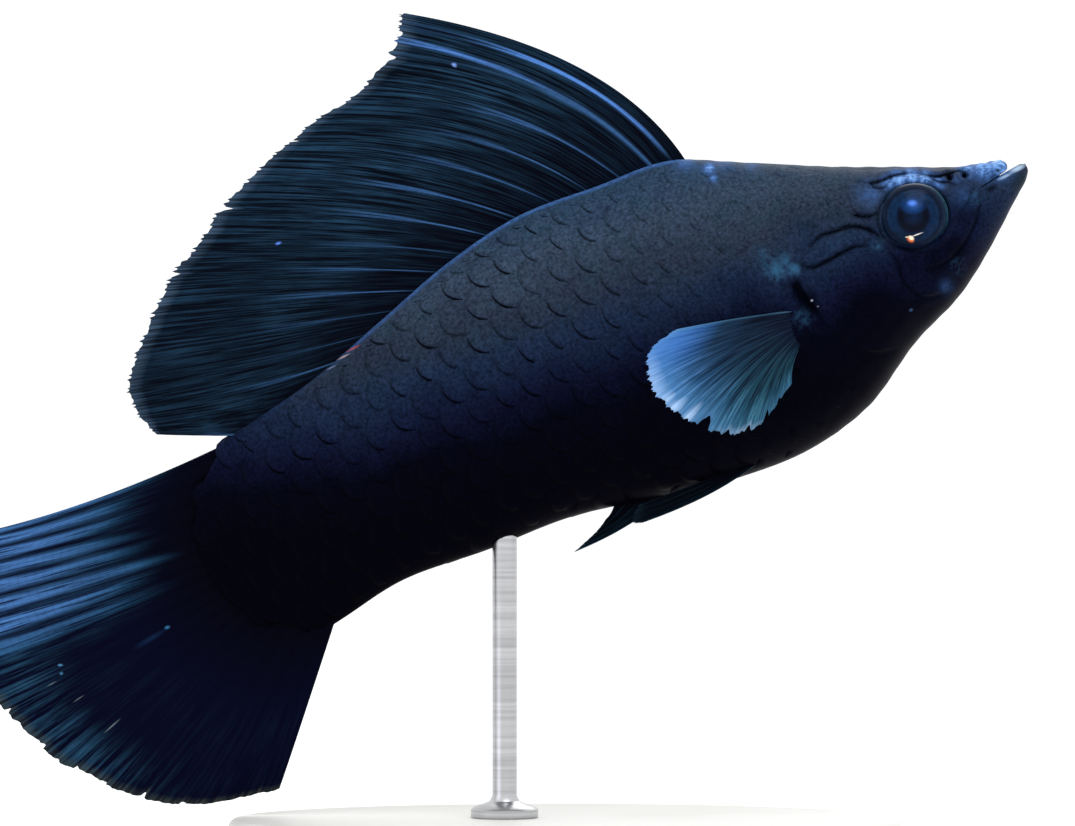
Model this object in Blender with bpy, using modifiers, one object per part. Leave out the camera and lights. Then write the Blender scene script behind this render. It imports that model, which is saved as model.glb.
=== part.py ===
"""A black sailfin molly, a live-bearing aquarium fish, life size, swimming nose up on a plain display stand.

The fish is modelled in its own straight frame and then posed by one empty. In that frame a point is
given by its distance from the tip of the lower jaw towards the tail, its side (left is positive) and
its height above the body's axis. Run with: blender --background --python part.py
"""

import math

import bmesh
import bpy
import numpy as np
from mathutils import Matrix, Vector

MM = 0.001

# Pose and clearances.
PITCH = math.radians(26)  # the nose points this far up
GAP = 0.3 * MM  # clear space between neighbouring solids
GILL_GAP = 0.42 * MM  # measured along the fish, across a slanting cut
SWAY = 4.0 * MM  # how far the tail's tip swings to the left
SWAY_FROM = 42 * MM
SWAY_TO = 105 * MM

# Body stations, in millimetres: distance from the jaw tip, back, belly, half width, widest point's height.
BODY_STATIONS = MM * np.array(
    [
        (0.0, 0.50, -0.40, 1.05, 0.0),
        (0.5, 0.95, -1.00, 1.80, 0.0),
        (1.6, 1.50, -1.80, 2.40, 0.0),
        (5.1, 2.55, -4.40, 3.80, -0.3),
        (10.0, 4.90, -7.55, 5.30, -0.8),
        (15.5, 7.60, -9.65, 6.30, -0.8),
        (21.8, 11.05, -12.95, 7.05, -0.6),
        (28.2, 14.30, -14.15, 7.40, 0.2),
        (35.0, 15.10, -13.65, 7.25, 1.2),
        (42.5, 15.80, -12.00, 6.65, 2.0),
        (50.0, 14.80, -10.25, 5.70, 2.2),
        (58.0, 12.70, -9.62, 4.60, 1.8),
        (66.0, 10.65, -8.75, 3.50, 1.0),
        (74.0, 9.75, -9.65, 2.30, 0.2),
        (82.0, 9.55, -9.80, 1.00, 0.0),
    ]
)
AROUND = 36  # points round the body
TAIL_FLATTENING = 0.35  # added to the section's side exponent where the body thins to the tail

# Where the body is parted: the gill opening, the start of the tail stem and the tail's fleshy end.
GILL_EDGE_SIDE = 22.9 * MM
GILL_EDGE_TOP = 21.2 * MM
GILL_EDGE_THROAT = 15.2 * MM
STEM_START = 64 * MM
STEM_END = 81.2 * MM
STEM_END_ROUNDING = 7.4 * MM  # how much sooner the flesh ends at its upper and lower corners

# Head.
EYE_AT = (11.35 * MM, 0.45 * MM)
EYE_RADIUS = 2.95 * MM
EYE_DEPTH_RADIUS = 2.2 * MM
EYE_PROUD = 0.75 * MM
ORBIT_RIM_RADIUS = 3.4 * MM
ORBIT_RIM_THICK = 0.42 * MM
NOSTRILS = ((6.75 * MM, 2.15 * MM), (5.45 * MM, 1.75 * MM))
NOSTRIL_RADIUS = 0.34 * MM
UPPER_JAW_FRONT = 1.75 * MM
MOUTH_CORNER = 4.7 * MM
MOUTH_LOW = 0.05 * MM
MOUTH_HIGH = 0.5 * MM
CORNER_LOW = 0.05 * MM
CORNER_HIGH = 0.2 * MM
LIP_FULLNESS = 0.75  # below 1 a lip is squarer across the snout
LIP_END_SHARE = 0.55  # how thick a lip is at the mouth's corner
UPPER_LIP = {"front": 1.95 * MM, "front_height": 0.98 * MM, "corner_height": 0.5 * MM, "radius": 0.52 * MM}
LOWER_LIP = {"front": 0.45 * MM, "front_height": -0.38 * MM, "corner_height": -0.28 * MM, "radius": 0.42 * MM}
GILL_COVER_CENTRE = (21.0 * MM, -3.2 * MM)
GILL_COVER_RADII = (6.3 * MM, 5.7 * MM)
GILL_COVER_THICK = 1.1 * MM
GILL_COVER_PROUD = 0.15 * MM

# Fins. Each row of a fin's table is one ray that shapes it: how far across the fin it is, from 0 to 1,
# where it leaves the body, the point that it bends towards, and its tip. Distances are in millimetres.
DORSAL_RAYS = 15
DORSAL_SHAPE = (  # across, root distance, bend distance and height, tip distance and height
    (0.00, 26.9, 28.0, 25.6, 44.4, 37.0),
    (0.09, 29.2, 31.6, 25.4, 45.9, 35.4),
    (0.18, 32.0, 37.0, 25.7, 50.2, 32.7),
    (0.29, 35.9, 42.4, 25.8, 56.2, 31.5),
    (0.43, 42.2, 50.0, 23.6, 62.8, 29.8),
    (0.57, 47.8, 54.8, 19.7, 70.0, 26.6),
    (0.72, 52.9, 61.0, 17.2, 75.9, 22.7),
    (0.86, 57.8, 66.0, 13.2, 80.9, 17.7),
    (0.94, 62.0, 69.0, 11.2, 81.2, 15.0),
    (1.00, 73.0, 75.6, 10.2, 80.3, 12.7),
)
DORSAL_WAVE = 0.9 * MM  # how far the sail's tips sway from side to side
DORSAL_THICK = {"membrane": (0.62 * MM, 0.46 * MM), "ridge": (1.1 * MM, 0.6 * MM)}  # at the root, at the tips
TAIL_RAYS = 18
TAIL_SHAPE = (  # across, root height, bend distance and height, tip distance and height
    (0.00, -9.1, 79.2, -15.8, 84.4, -20.95),
    (0.12, -7.6, 84.0, -15.0, 91.6, -18.95),
    (0.25, -5.7, 87.6, -10.2, 97.7, -14.3),
    (0.40, -3.5, 90.6, -5.4, 102.2, -7.4),
    (0.55, -1.1, 92.4, -1.0, 104.6, 0.2),
    (0.70, 1.7, 92.8, 3.5, 104.6, 5.8),
    (0.85, 5.2, 91.6, 6.6, 103.0, 9.9),
    (1.00, 9.1, 88.0, 8.9, 99.8, 12.0),
)
TAIL_CURL = 1.4 * MM
TAIL_THICK = {"membrane": (0.70 * MM, 0.46 * MM), "ridge": (1.2 * MM, 0.6 * MM)}
PECTORAL_RAYS = 13
PECTORAL_SHAPE = (  # across, root distance and height, bend distance and height, tip distance and height
    (0.00, 23.7, -2.7, 29.0, -0.8, 34.6, 0.55),
    (0.12, 23.9, -3.0, 29.9, -1.2, 37.5, -0.3),
    (0.25, 24.0, -3.3, 30.5, -1.9, 38.7, -2.2),
    (0.50, 24.3, -3.9, 30.6, -3.9, 37.6, -6.9),
    (0.75, 24.6, -4.5, 29.2, -5.9, 33.0, -10.35),
    (1.00, 24.9, -5.1, 26.7, -6.1, 27.6, -8.2),
)
PECTORAL_SPREAD = math.radians(24)  # the fin stands off the flank by this angle
PECTORAL_CUP = 0.5 * MM
PECTORAL_THICK = {"membrane": (0.62 * MM, 0.45 * MM), "ridge": (1.05 * MM, 0.55 * MM)}
PELVIC_RAYS = 6
PELVIC_SHAPE = (  # across, root distance and height, bend distance and height, tip distance and height
    (0.00, 33.4, -13.2, 38.0, -14.3, 43.9, -13.6),
    (0.50, 34.6, -13.0, 38.8, -13.8, 44.6, -12.9),
    (1.00, 35.8, -12.6, 39.8, -12.6, 44.0, -12.0),
)
PELVIC_SIDE = 2.1 * MM
PELVIC_TIP_SIDE = 2.35 * MM
PELVIC_THICK = {"membrane": (0.60 * MM, 0.45 * MM), "ridge": (0.95 * MM, 0.5 * MM)}
ANAL_RAYS = 5
ANAL_SHAPE = (  # across, root distance, bend distance and height, tip distance and height
    (0.00, 40.6, 44.5, -13.7, 51.6, -13.15),
    (0.35, 42.4, 45.6, -13.1, 50.0, -12.75),
    (0.70, 44.2, 46.4, -12.2, 48.4, -12.3),
    (1.00, 45.7, 46.6, -11.6, 47.3, -11.75),
)
ANAL_THICK = {"membrane": (0.60 * MM, 0.44 * MM), "ridge": (1.1 * MM, 0.5 * MM)}
FIN_ROOT_SUNK = 1.0 * MM  # how far a trimmed fin starts inside the body

# Stand.
BASE_LENGTH = 60 * MM
BASE_WIDTH = 40 * MM
BASE_THICK = 5 * MM
BASE_CHAMFER = 0.8 * MM
TAIL_CLEARANCE = 0.75 * MM  # from the tail fin's lowest tip to the base
FISH_FORWARD = 41.0 * MM  # the jaw tip's place ahead of the base's centre
TAIL_DROP = 57.15 * MM  # the tail fin's lowest tip, below the jaw tip, once the fish is pitched
FISH_HEIGHT = BASE_THICK + TAIL_CLEARANCE + TAIL_DROP  # the jaw tip's height above the table
ROD_AT = -5.4 * MM
ROD_RADIUS = 1.1 * MM
ROD_FOOT_RADIUS = 3.0 * MM
ROD_FOOT_HIGH = 1.4 * MM
ROD_FOOT_ROUNDING = 0.6 * MM
ROD_BLANK_TOP = 45 * MM  # inside the fish, before the rod is trimmed
ROD_STEPS = 24

SKIN_COLOUR = (0.010, 0.013, 0.024)
HEAD_COLOUR = (0.012, 0.016, 0.030)
EYE_COLOUR = (0.006, 0.010, 0.022)
FIN_COLOUR = (0.014, 0.024, 0.050)
PALE_FIN_COLOUR = (0.060, 0.130, 0.280)
STEEL_COLOUR = (0.60, 0.60, 0.61)
BASE_COLOUR = (0.80, 0.80, 0.79)


def clear_scene():
    for leftover in list(bpy.data.objects):
        bpy.data.objects.remove(leftover, do_unlink=True)


def curve_through(knots, values, at):
    """A smooth curve through the values at the knots, read at other places."""
    knots, values, at = np.asarray(knots, float), np.asarray(values, float), np.asarray(at, float)
    slopes = np.gradient(values, knots)
    place = np.clip(np.searchsorted(knots, at, side="right") - 1, 0, len(knots) - 2)
    step = knots[place + 1] - knots[place]
    x = np.clip((at - knots[place]) / step, 0.0, 1.0)
    start_part = (1 + 2 * x) * (1 - x) ** 2 * values[place] + x * (1 - x) ** 2 * step * slopes[place]
    end_part = x**2 * (3 - 2 * x) * values[place + 1] + x**2 * (x - 1) * step * slopes[place + 1]
    return start_part + end_part


def station(distance):
    """Back, belly, half width and widest height of the body at a distance from the jaw tip."""
    return [curve_through(BODY_STATIONS[:, 0], BODY_STATIONS[:, k], distance) for k in range(1, 5)]


def side_exponent(distance):
    """1 where the section is an ellipse, and more where it thins to a blade at the tail."""
    share = np.clip((distance - SWAY_FROM) / (STEM_END - SWAY_FROM), 0.0, 1.0)
    return 1.0 + TAIL_FLATTENING * share


def sway(distance):
    """How far the body's middle plane bends to the left at a distance from the jaw tip."""
    return SWAY * (np.maximum(np.asarray(distance) - SWAY_FROM, 0.0) / (SWAY_TO - SWAY_FROM)) ** 2


def body_point(distance, angle, grow=0.0):
    """A point of the skin. Angle 0 is the left side, a quarter turn the back. grow moves it outwards."""
    back, belly, half_width, middle = station(distance)
    cosine, sine = np.cos(angle), np.sin(angle)
    side = (half_width + grow) * np.sign(cosine) * np.abs(cosine) ** side_exponent(distance)
    reach = np.where(sine > 0, back + grow - middle, middle - belly + grow)
    return np.stack([-distance, sway(distance) + side, middle + sine * reach], axis=-1)


def flank(distance, height):
    """How far the left flank is from the middle plane at a height."""
    back, belly, half_width, middle = station(distance)
    reach = np.where(height > middle, back - middle, middle - belly)
    sine = np.clip(np.abs(height - middle) / reach, 0.0, 1.0)
    return half_width * np.sqrt(1 - sine**2) ** side_exponent(distance)


def flank_normal(distance, height, small=0.2 * MM):
    """The outward direction of the left flank."""
    along = (flank(distance + small, height) - flank(distance - small, height)) / (2 * small)
    up = (flank(distance, height + small) - flank(distance, height - small)) / (2 * small)
    return Vector((float(along), 1.0, -float(up))).normalized()


def gill_edge(angle):
    """The distance of the head's rear edge: it bulges back on the sides and runs forward under the throat."""
    sine = np.sin(angle)
    up = (GILL_EDGE_TOP - GILL_EDGE_SIDE) * np.maximum(sine, 0) ** 2
    down = (GILL_EDGE_THROAT - GILL_EDGE_SIDE) * np.maximum(-sine, 0) ** 2.5
    return GILL_EDGE_SIDE + up + down


def stem_end_at_share(share):
    """Where the tail's flesh ends: share is -1 at its lower corner and 1 at its upper."""
    return STEM_END - STEM_END_ROUNDING * np.abs(share) ** 2.6


def tail_end(angle):
    return stem_end_at_share(np.sin(angle))


def at(distance):
    """A cut straight across the body."""
    return lambda angle: np.full_like(angle, distance)


def material(name, colour, roughness, metallic=0.0):
    made = bpy.data.materials.new(name)
    made.use_nodes = True
    shader = made.node_tree.nodes["Principled BSDF"]
    shader.inputs["Base Color"].default_value = (*colour, 1.0)
    shader.inputs["Roughness"].default_value = roughness
    shader.inputs["Metallic"].default_value = metallic
    made.diffuse_color = (*colour, 1.0)
    return made


def link(obj, collection, pose=None):
    collection.objects.link(obj)
    obj.parent = pose
    return obj


def finish_mesh(name, mesh_edit):
    """A new object from a bmesh, with its faces pointing outwards."""
    bmesh.ops.recalc_face_normals(mesh_edit, faces=mesh_edit.faces)
    mesh = bpy.data.meshes.new(name)
    mesh_edit.to_mesh(mesh)
    mesh_edit.free()
    return bpy.data.objects.new(name, mesh)


def loft(name, start, end, rings, grow=0.0, crowd=1.0):
    """A closed length of the body between two cuts, whose ends are capped by rings that shrink to a point.

    start and end give each cut's distance at an angle. crowd above 1 sets the rings closer near the start.
    """
    mesh_edit = bmesh.new()
    angles = np.linspace(0, 2 * math.pi, AROUND, endpoint=False)
    cap_shares = (0.3, 0.7)

    def inner(edge_points, share):
        centre = edge_points.mean(axis=0)
        centre[0] = edge_points[[0, AROUND // 2], 0].mean()
        moved = centre + (edge_points - centre) * share
        moved[:, 0] = centre[0] + (edge_points[:, 0] - centre[0]) * share**2
        return moved, centre

    shells = []
    for ring in range(rings + 1):
        share = (ring / rings) ** crowd
        shells.append(body_point(start(angles) + (end(angles) - start(angles)) * share, angles, grow))
    front, back = shells[0], shells[-1]
    shells = [inner(front, share)[0] for share in cap_shares] + shells
    shells += [inner(back, share)[0] for share in reversed(cap_shares)]
    loops = [[mesh_edit.verts.new(point) for point in shell] for shell in shells]
    for near, far in zip(loops, loops[1:]):
        for k in range(AROUND):
            mesh_edit.faces.new((near[k], near[k - 1], far[k - 1], far[k]))
    for loop, edge_points in ((loops[0], front), (loops[-1], back)):
        centre = mesh_edit.verts.new(inner(edge_points, 0.0)[1])
        for k in range(AROUND):
            mesh_edit.faces.new((loop[k], loop[k - 1], centre))
    bmesh.ops.triangulate(mesh_edit, faces=mesh_edit.faces)
    return finish_mesh(name, mesh_edit)


def ellipsoid(name, centre, radii, outward, segments=20, rings=10):
    """An ellipsoid whose third radius lies along its outward direction."""
    mesh_edit = bmesh.new()
    bmesh.ops.create_uvsphere(mesh_edit, u_segments=segments, v_segments=rings, radius=1.0)
    turn = outward.to_track_quat("Z", "Y").to_matrix().to_4x4()
    place = Matrix.Translation(centre) @ turn @ Matrix.Diagonal((*radii, 1.0))
    bmesh.ops.transform(mesh_edit, matrix=place, verts=mesh_edit.verts)
    return finish_mesh(name, mesh_edit)


def mirrored(obj, name):
    """A copy on the fish's other side. The head and shoulders, where it is used, lie on the straight axis."""
    mesh_edit = bmesh.new()
    mesh_edit.from_mesh(obj.data)
    bmesh.ops.scale(mesh_edit, vec=(1, -1, 1), verts=mesh_edit.verts)
    return finish_mesh(name, mesh_edit)


def made_mesh(obj):
    """A closed mesh object from a curve, or from an object with live modifiers, which is removed."""
    mesh = bpy.data.meshes.new_from_object(obj.evaluated_get(bpy.context.evaluated_depsgraph_get()))
    mesh_edit = bmesh.new()
    mesh_edit.from_mesh(mesh)
    bmesh.ops.remove_doubles(mesh_edit, verts=mesh_edit.verts, dist=0.01 * MM)
    made = finish_mesh(obj.name + "_mesh", mesh_edit)
    bpy.data.meshes.remove(mesh)
    bpy.data.objects.remove(obj)
    return made


def tube(name, points, radius, collection, closed=False, end_share=1.0):
    """A round tube through the points, as a closed mesh. Its ends narrow to end_share of its radius."""
    curve = bpy.data.curves.new(name, "CURVE")
    curve.dimensions = "3D"
    curve.bevel_depth = radius
    curve.bevel_resolution = 1
    curve.use_fill_caps = not closed
    spline = curve.splines.new("POLY")
    spline.points.add(len(points) - 1)
    for place, (target, point) in enumerate(zip(spline.points, points)):
        target.co = (*point, 1.0)
        from_middle = abs(2 * place / (len(points) - 1) - 1)
        target.radius = 1 - (1 - end_share) * from_middle**3
    spline.use_cyclic_u = closed
    obj = bpy.data.objects.new(name, curve)
    collection.objects.link(obj)
    bpy.context.view_layer.update()
    return made_mesh(obj)


def prism(name, outline, half_thick, side):
    """A flat outline of distances and heights, made this thick either way of a plane beside the fish."""
    mesh_edit = bmesh.new()
    corners = [mesh_edit.verts.new((-distance, side - half_thick, height)) for distance, height in outline]
    face = mesh_edit.faces.new(corners)
    swept = bmesh.ops.extrude_face_region(mesh_edit, geom=[face])
    moved = [item for item in swept["geom"] if isinstance(item, bmesh.types.BMVert)]
    bmesh.ops.translate(mesh_edit, vec=(0, 2 * half_thick, 0), verts=moved)
    return finish_mesh(name, mesh_edit)


def combine(obj, others, operation):
    """Joins others to obj, or cuts them from it, for good. The others are removed."""
    scene_objects = bpy.context.scene.collection.objects
    helpers = bpy.data.collections.new(obj.name + "_pieces")
    bpy.context.scene.collection.children.link(helpers)
    scene_objects.link(obj)
    for other in others:
        helpers.objects.link(other)
    modifier = obj.modifiers.new(operation.lower(), "BOOLEAN")
    modifier.operation = operation
    modifier.operand_type = "COLLECTION"
    modifier.collection = helpers
    modifier.solver = "EXACT"
    bpy.context.view_layer.update()
    mesh = bpy.data.meshes.new_from_object(obj.evaluated_get(bpy.context.evaluated_depsgraph_get()))
    obj.modifiers.clear()
    obj.data = mesh
    scene_objects.unlink(obj)
    for other in others:
        bpy.data.objects.remove(other)
    bpy.data.collections.remove(helpers)
    return obj


def keep_largest(obj):
    """Keeps the largest closed surface, by volume, and merges points that a Boolean left on each other."""
    mesh_edit = bmesh.new()
    mesh_edit.from_mesh(obj.data)
    bmesh.ops.remove_doubles(mesh_edit, verts=mesh_edit.verts, dist=0.002 * MM)
    left = set(mesh_edit.faces)
    groups = []
    while left:
        group, edge = set(), [left.pop()]
        while edge:
            face = edge.pop()
            group.add(face)
            for neighbour in {f for e in face.edges for f in e.link_faces} & left:
                left.discard(neighbour)
                edge.append(neighbour)
        groups.append(group)

    def volume(group):
        total = 0.0
        for face in group:
            corners = [vert.co for vert in face.verts]
            for second, third in zip(corners[1:], corners[2:]):
                total += corners[0].dot(second.cross(third)) / 6
        return abs(total)

    largest = max(groups, key=volume)
    bmesh.ops.delete(mesh_edit, geom=[f for f in mesh_edit.faces if f not in largest], context="FACES")
    mesh_edit.to_mesh(obj.data)
    mesh_edit.free()
    return obj


def shade(obj, finish):
    obj.data.materials.clear()
    obj.data.materials.append(finish)
    obj.data.shade_smooth()
    obj.data.set_sharp_from_angle(angle=math.radians(40))
    return obj


def lip(name, size, collection, steps=15):
    """A lip: a tube from the left corner of the mouth, round the snout along the jaw's edge, to the right."""
    points = []
    for turn in np.linspace(math.pi / 2, -math.pi / 2, steps):
        back = 1 - math.cos(turn)
        distance = size["front"] + (MOUTH_CORNER - size["front"]) * back
        height = size["front_height"] + (size["corner_height"] - size["front_height"]) * back
        widest = float(flank(MOUTH_CORNER, size["corner_height"]))
        side = min(widest * abs(math.sin(turn)) ** LIP_FULLNESS, float(flank(distance, height)))
        side = max(side - size["radius"] / 2, 0.0)
        points.append((-distance, math.copysign(side, turn), height))
    return tube(name, points, size["radius"], collection, end_share=LIP_END_SHARE)


def eye_pose():
    """The left eye's centre and outward direction."""
    outward = flank_normal(*EYE_AT)
    surface = Vector((-EYE_AT[0], float(flank(*EYE_AT)), EYE_AT[1]))
    return surface - outward * (EYE_DEPTH_RADIUS - EYE_PROUD), outward


def eye_shape(name, grow=0.0):
    centre, outward = eye_pose()
    radii = (EYE_RADIUS + grow, EYE_RADIUS + grow, EYE_DEPTH_RADIUS + grow)
    return ellipsoid(name, centre, radii, outward)


def orbit_rim(collection):
    """The low ring of skin round the left eye, which follows the cheek."""
    points = []
    for turn in np.linspace(0, 2 * math.pi, 24, endpoint=False):
        distance = EYE_AT[0] + ORBIT_RIM_RADIUS * math.cos(turn)
        height = EYE_AT[1] + ORBIT_RIM_RADIUS * math.sin(turn)
        points.append((-distance, float(flank(distance, height)) - ORBIT_RIM_THICK / 2, height))
    return tube("orbit_rim", points, ORBIT_RIM_THICK, collection, closed=True)


def gape():
    """The space between the jaws: open ahead of the upper jaw, and a narrowing slot back to the corner."""
    ahead, above = -2 * MM, 4 * MM
    outline = [
        (ahead, MOUTH_LOW),
        (ahead, above),
        (UPPER_JAW_FRONT, above),
        (UPPER_JAW_FRONT, MOUTH_HIGH),
        (MOUTH_CORNER, CORNER_HIGH),
        (MOUTH_CORNER, CORNER_LOW),
        (UPPER_JAW_FRONT, MOUTH_LOW),
    ]
    return prism("gape", outline, 6 * MM, 0.0)


def gill_cover_outline(grow=0.0, steps=30):
    """The gill cover's oval, which the head's rear edge cuts off behind."""
    (distance, height), (long, tall) = GILL_COVER_CENTRE, GILL_COVER_RADII
    turns = np.linspace(0, 2 * math.pi, steps, endpoint=False)
    return [(distance + (long + grow) * math.cos(a), height + (tall + grow) * math.sin(a)) for a in turns]


def gill_prism(name, grow=0.0):
    """A block from the middle plane out past the left flank, in the gill cover's outline."""
    inner_side, outer_side = 0.6 * MM, 12 * MM
    half = (outer_side - inner_side) / 2
    return prism(name, gill_cover_outline(grow), half + grow / 2, inner_side + half)


def head_loft(name, grow=0.0, longer=0.0, rings=21):
    return loft(name, at(0.0), lambda angle: gill_edge(angle) + longer, rings, grow, crowd=1.35)


def build_head(collection, pose, skin):
    """The head with lips, gape, nostrils, orbits and a gill cover on each side."""
    head = combine(head_loft("head"), [gape()], "DIFFERENCE")
    rim = orbit_rim(collection)
    lips = [lip("upper_lip", UPPER_LIP, collection), lip("lower_lip", LOWER_LIP, collection)]
    combine(head, [*lips, rim, mirrored(rim, "orbit_rim_right")], "UNION")

    cutters = [eye_shape("socket", GAP)]
    for distance, height in NOSTRILS:
        centre = Vector((-distance, float(flank(distance, height)), height))
        radii = (NOSTRIL_RADIUS, NOSTRIL_RADIUS, NOSTRIL_RADIUS)
        cutters.append(ellipsoid("nostril", centre, radii, flank_normal(distance, height), 10, 6))
    recess = gill_prism("gill_recess", GAP)
    floor = head_loft("recess_floor", -GILL_COVER_THICK - GAP, longer=1 * MM)
    cutters.append(combine(recess, [floor], "DIFFERENCE"))
    cutters += [mirrored(cutter, cutter.name + "_right") for cutter in cutters]
    for cutter in cutters:
        combine(head, [cutter], "DIFFERENCE")
    link(shade(keep_largest(head), skin), collection, pose)

    cover = combine(gill_prism("gill_cover_left"), [head_loft("outer", GILL_COVER_PROUD)], "INTERSECT")
    combine(cover, [head_loft("inner", -GILL_COVER_THICK, longer=1 * MM)], "DIFFERENCE")
    keep_largest(cover)
    other = mirrored(cover, "gill_cover_right")
    for obj in (cover, other):
        link(shade(obj, skin), collection, pose)


def build_eyes(collection, pose, finish):
    left = eye_shape("eye_left")
    for obj in (left, mirrored(left, "eye_right")):
        link(shade(obj, finish), collection, pose)


def build_body(collection, pose, skin):
    """The trunk behind the gills and the tail stem, parted by a thin straight cut."""
    trunk = loft("trunk", lambda angle: gill_edge(angle) + GILL_GAP, at(STEM_START), 20)
    stem = loft("tail_stem", at(STEM_START + GAP), tail_end, 8)
    for obj in (trunk, stem):
        link(shade(obj, skin), collection, pose)


def ray_grid(name, shape, rays, rows, place, membrane, ridge, columns=2, notch=0.02):
    """A fin: one sheet with its rays raised on both faces, thinning to a lightly notched margin.

    shape has one row per guiding ray. place turns a row's root values, across and reach, into a point:
    across runs over the fin and reach from 0 at the root to 1 at the tips. membrane and ridge are the
    thickness between rays, and on them, at the root and at the margin.
    """
    shape = np.array(shape)
    knots, tables = shape[:, 0], (shape[:, 1:] * MM).T
    segments = (rays - 1) * columns
    mesh_edit = bmesh.new()
    bmesh.ops.create_grid(mesh_edit, x_segments=segments, y_segments=rows, size=1.0)
    weights = {}
    thickest = max(ridge[0], membrane[0])
    mesh_edit.verts.ensure_lookup_table()
    for vert in mesh_edit.verts:
        across, reach = (vert.co.x + 1) / 2, (vert.co.y + 1) / 2
        on_ray = 0.5 + 0.5 * math.cos(2 * math.pi * across * (rays - 1))
        guide = [float(curve_through(knots, table, across)) for table in tables]
        vert.co = place(guide, across, reach * (1 - notch * (1 - on_ray)))
        between = membrane[0] + (membrane[1] - membrane[0]) * reach
        raised = ridge[0] + (ridge[1] - ridge[0]) * reach
        weights[vert.index] = (between + (raised - between) * on_ray**2) / thickest
    bmesh.ops.triangulate(mesh_edit, faces=mesh_edit.faces, quad_method="FIXED")
    fin = finish_mesh(name, mesh_edit)
    group = fin.vertex_groups.new(name="thickness")
    for index, weight in weights.items():
        group.add([index], weight, "REPLACE")
    solid = fin.modifiers.new("thickness", "SOLIDIFY")
    solid.thickness = thickest
    solid.offset = 0.0
    solid.vertex_group = group.name
    solid.thickness_vertex_group = 0.0
    return fin


def bend(root, control, tip, reach):
    """A point on the curve that leaves root towards control and ends at tip."""
    start, middle, end = (1 - reach) ** 2, 2 * reach * (1 - reach), reach**2
    return [start * a + middle * b + end * c for a, b, c in zip(root, control, tip)]


def back_height(distance):
    return float(station(distance)[0])


def belly_height(distance):
    return float(station(distance)[1])


def dorsal_place(guide, across, reach):
    """The sail rises from the back, and waves gently from side to side towards its tips."""
    root_distance, bend_distance, bend_height, tip_distance, tip_height = guide
    root = (root_distance, back_height(root_distance) + GAP)
    distance, height = bend(root, (bend_distance, bend_height), (tip_distance, tip_height), reach)
    wave = DORSAL_WAVE * reach**1.5 * math.sin(math.tau * (0.9 * across - 0.1))
    return (-distance, float(sway(root_distance)) + wave, height)


def tail_place(guide, across, reach):
    """The tail fin fans from the rounded end of the flesh. Its root starts inside, and is trimmed later."""
    root_height, bend_distance, bend_height, tip_distance, tip_height = guide
    share = root_height / (TAIL_SHAPE[0][1] * MM)
    root = (float(stem_end_at_share(share)) - FIN_ROOT_SUNK, root_height)
    distance, height = bend(root, (bend_distance, bend_height), (tip_distance, tip_height), reach)
    curl = TAIL_CURL * reach**1.6 * math.sin(math.tau * (0.8 * across + 0.35))
    return (-distance, float(sway(distance)) + curl, height)


def anal_place(guide, across, reach):
    """The male's rod-like anal fin lies back under the belly."""
    root_distance, bend_distance, bend_height, tip_distance, tip_height = guide
    root = (root_distance, belly_height(root_distance) - GAP)
    distance, height = bend(root, (bend_distance, bend_height), (tip_distance, tip_height), reach)
    return (-distance, 0.0, height)


def pectoral_place(guide, across, reach):
    """The left breast fin stands off the flank. Its root starts inside the body, and is trimmed later."""
    root, control, tip = guide[0:2], guide[2:4], guide[4:6]
    distance, height = bend(root, control, tip, reach)
    run = math.hypot(distance - root[0], height - root[1])
    cupped = PECTORAL_CUP * math.sin(math.pi * across) * reach
    surfacing = FIN_ROOT_SUNK * (min(1.0, 4 * reach) - 1)
    side = float(flank(*root)) + run * math.tan(PECTORAL_SPREAD) + cupped + surfacing
    return (-distance, side, height)


def pelvic_place(guide, across, reach):
    """The left belly fin lies back beside the keel. Its root starts inside the body, and is trimmed later."""
    root, control, tip = guide[0:2], guide[2:4], guide[4:6]
    distance, height = bend(root, control, tip, reach)
    side = PELVIC_SIDE + (PELVIC_TIP_SIDE - PELVIC_SIDE) * reach
    return (-distance, side, height)


def trimmed(fin, body, collection):
    """The fin with its thickness made real, cut so that its root faces the body across the gap."""
    collection.objects.link(fin)
    bpy.context.view_layer.update()
    mesh = bpy.data.meshes.new_from_object(fin.evaluated_get(bpy.context.evaluated_depsgraph_get()))
    collection.objects.unlink(fin)
    fin.modifiers.clear()
    fin.vertex_groups.clear()
    fin.data = mesh
    combine(fin, [body], "DIFFERENCE")
    return keep_largest(fin)


def grown_trunk():
    return loft("grown_trunk", at(GILL_EDGE_THROAT), at(STEM_START), 30, grow=GAP)


def grown_stem():
    return loft("grown_stem", at(STEM_START), lambda angle: tail_end(angle) + GAP, 16, grow=GAP)


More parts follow.
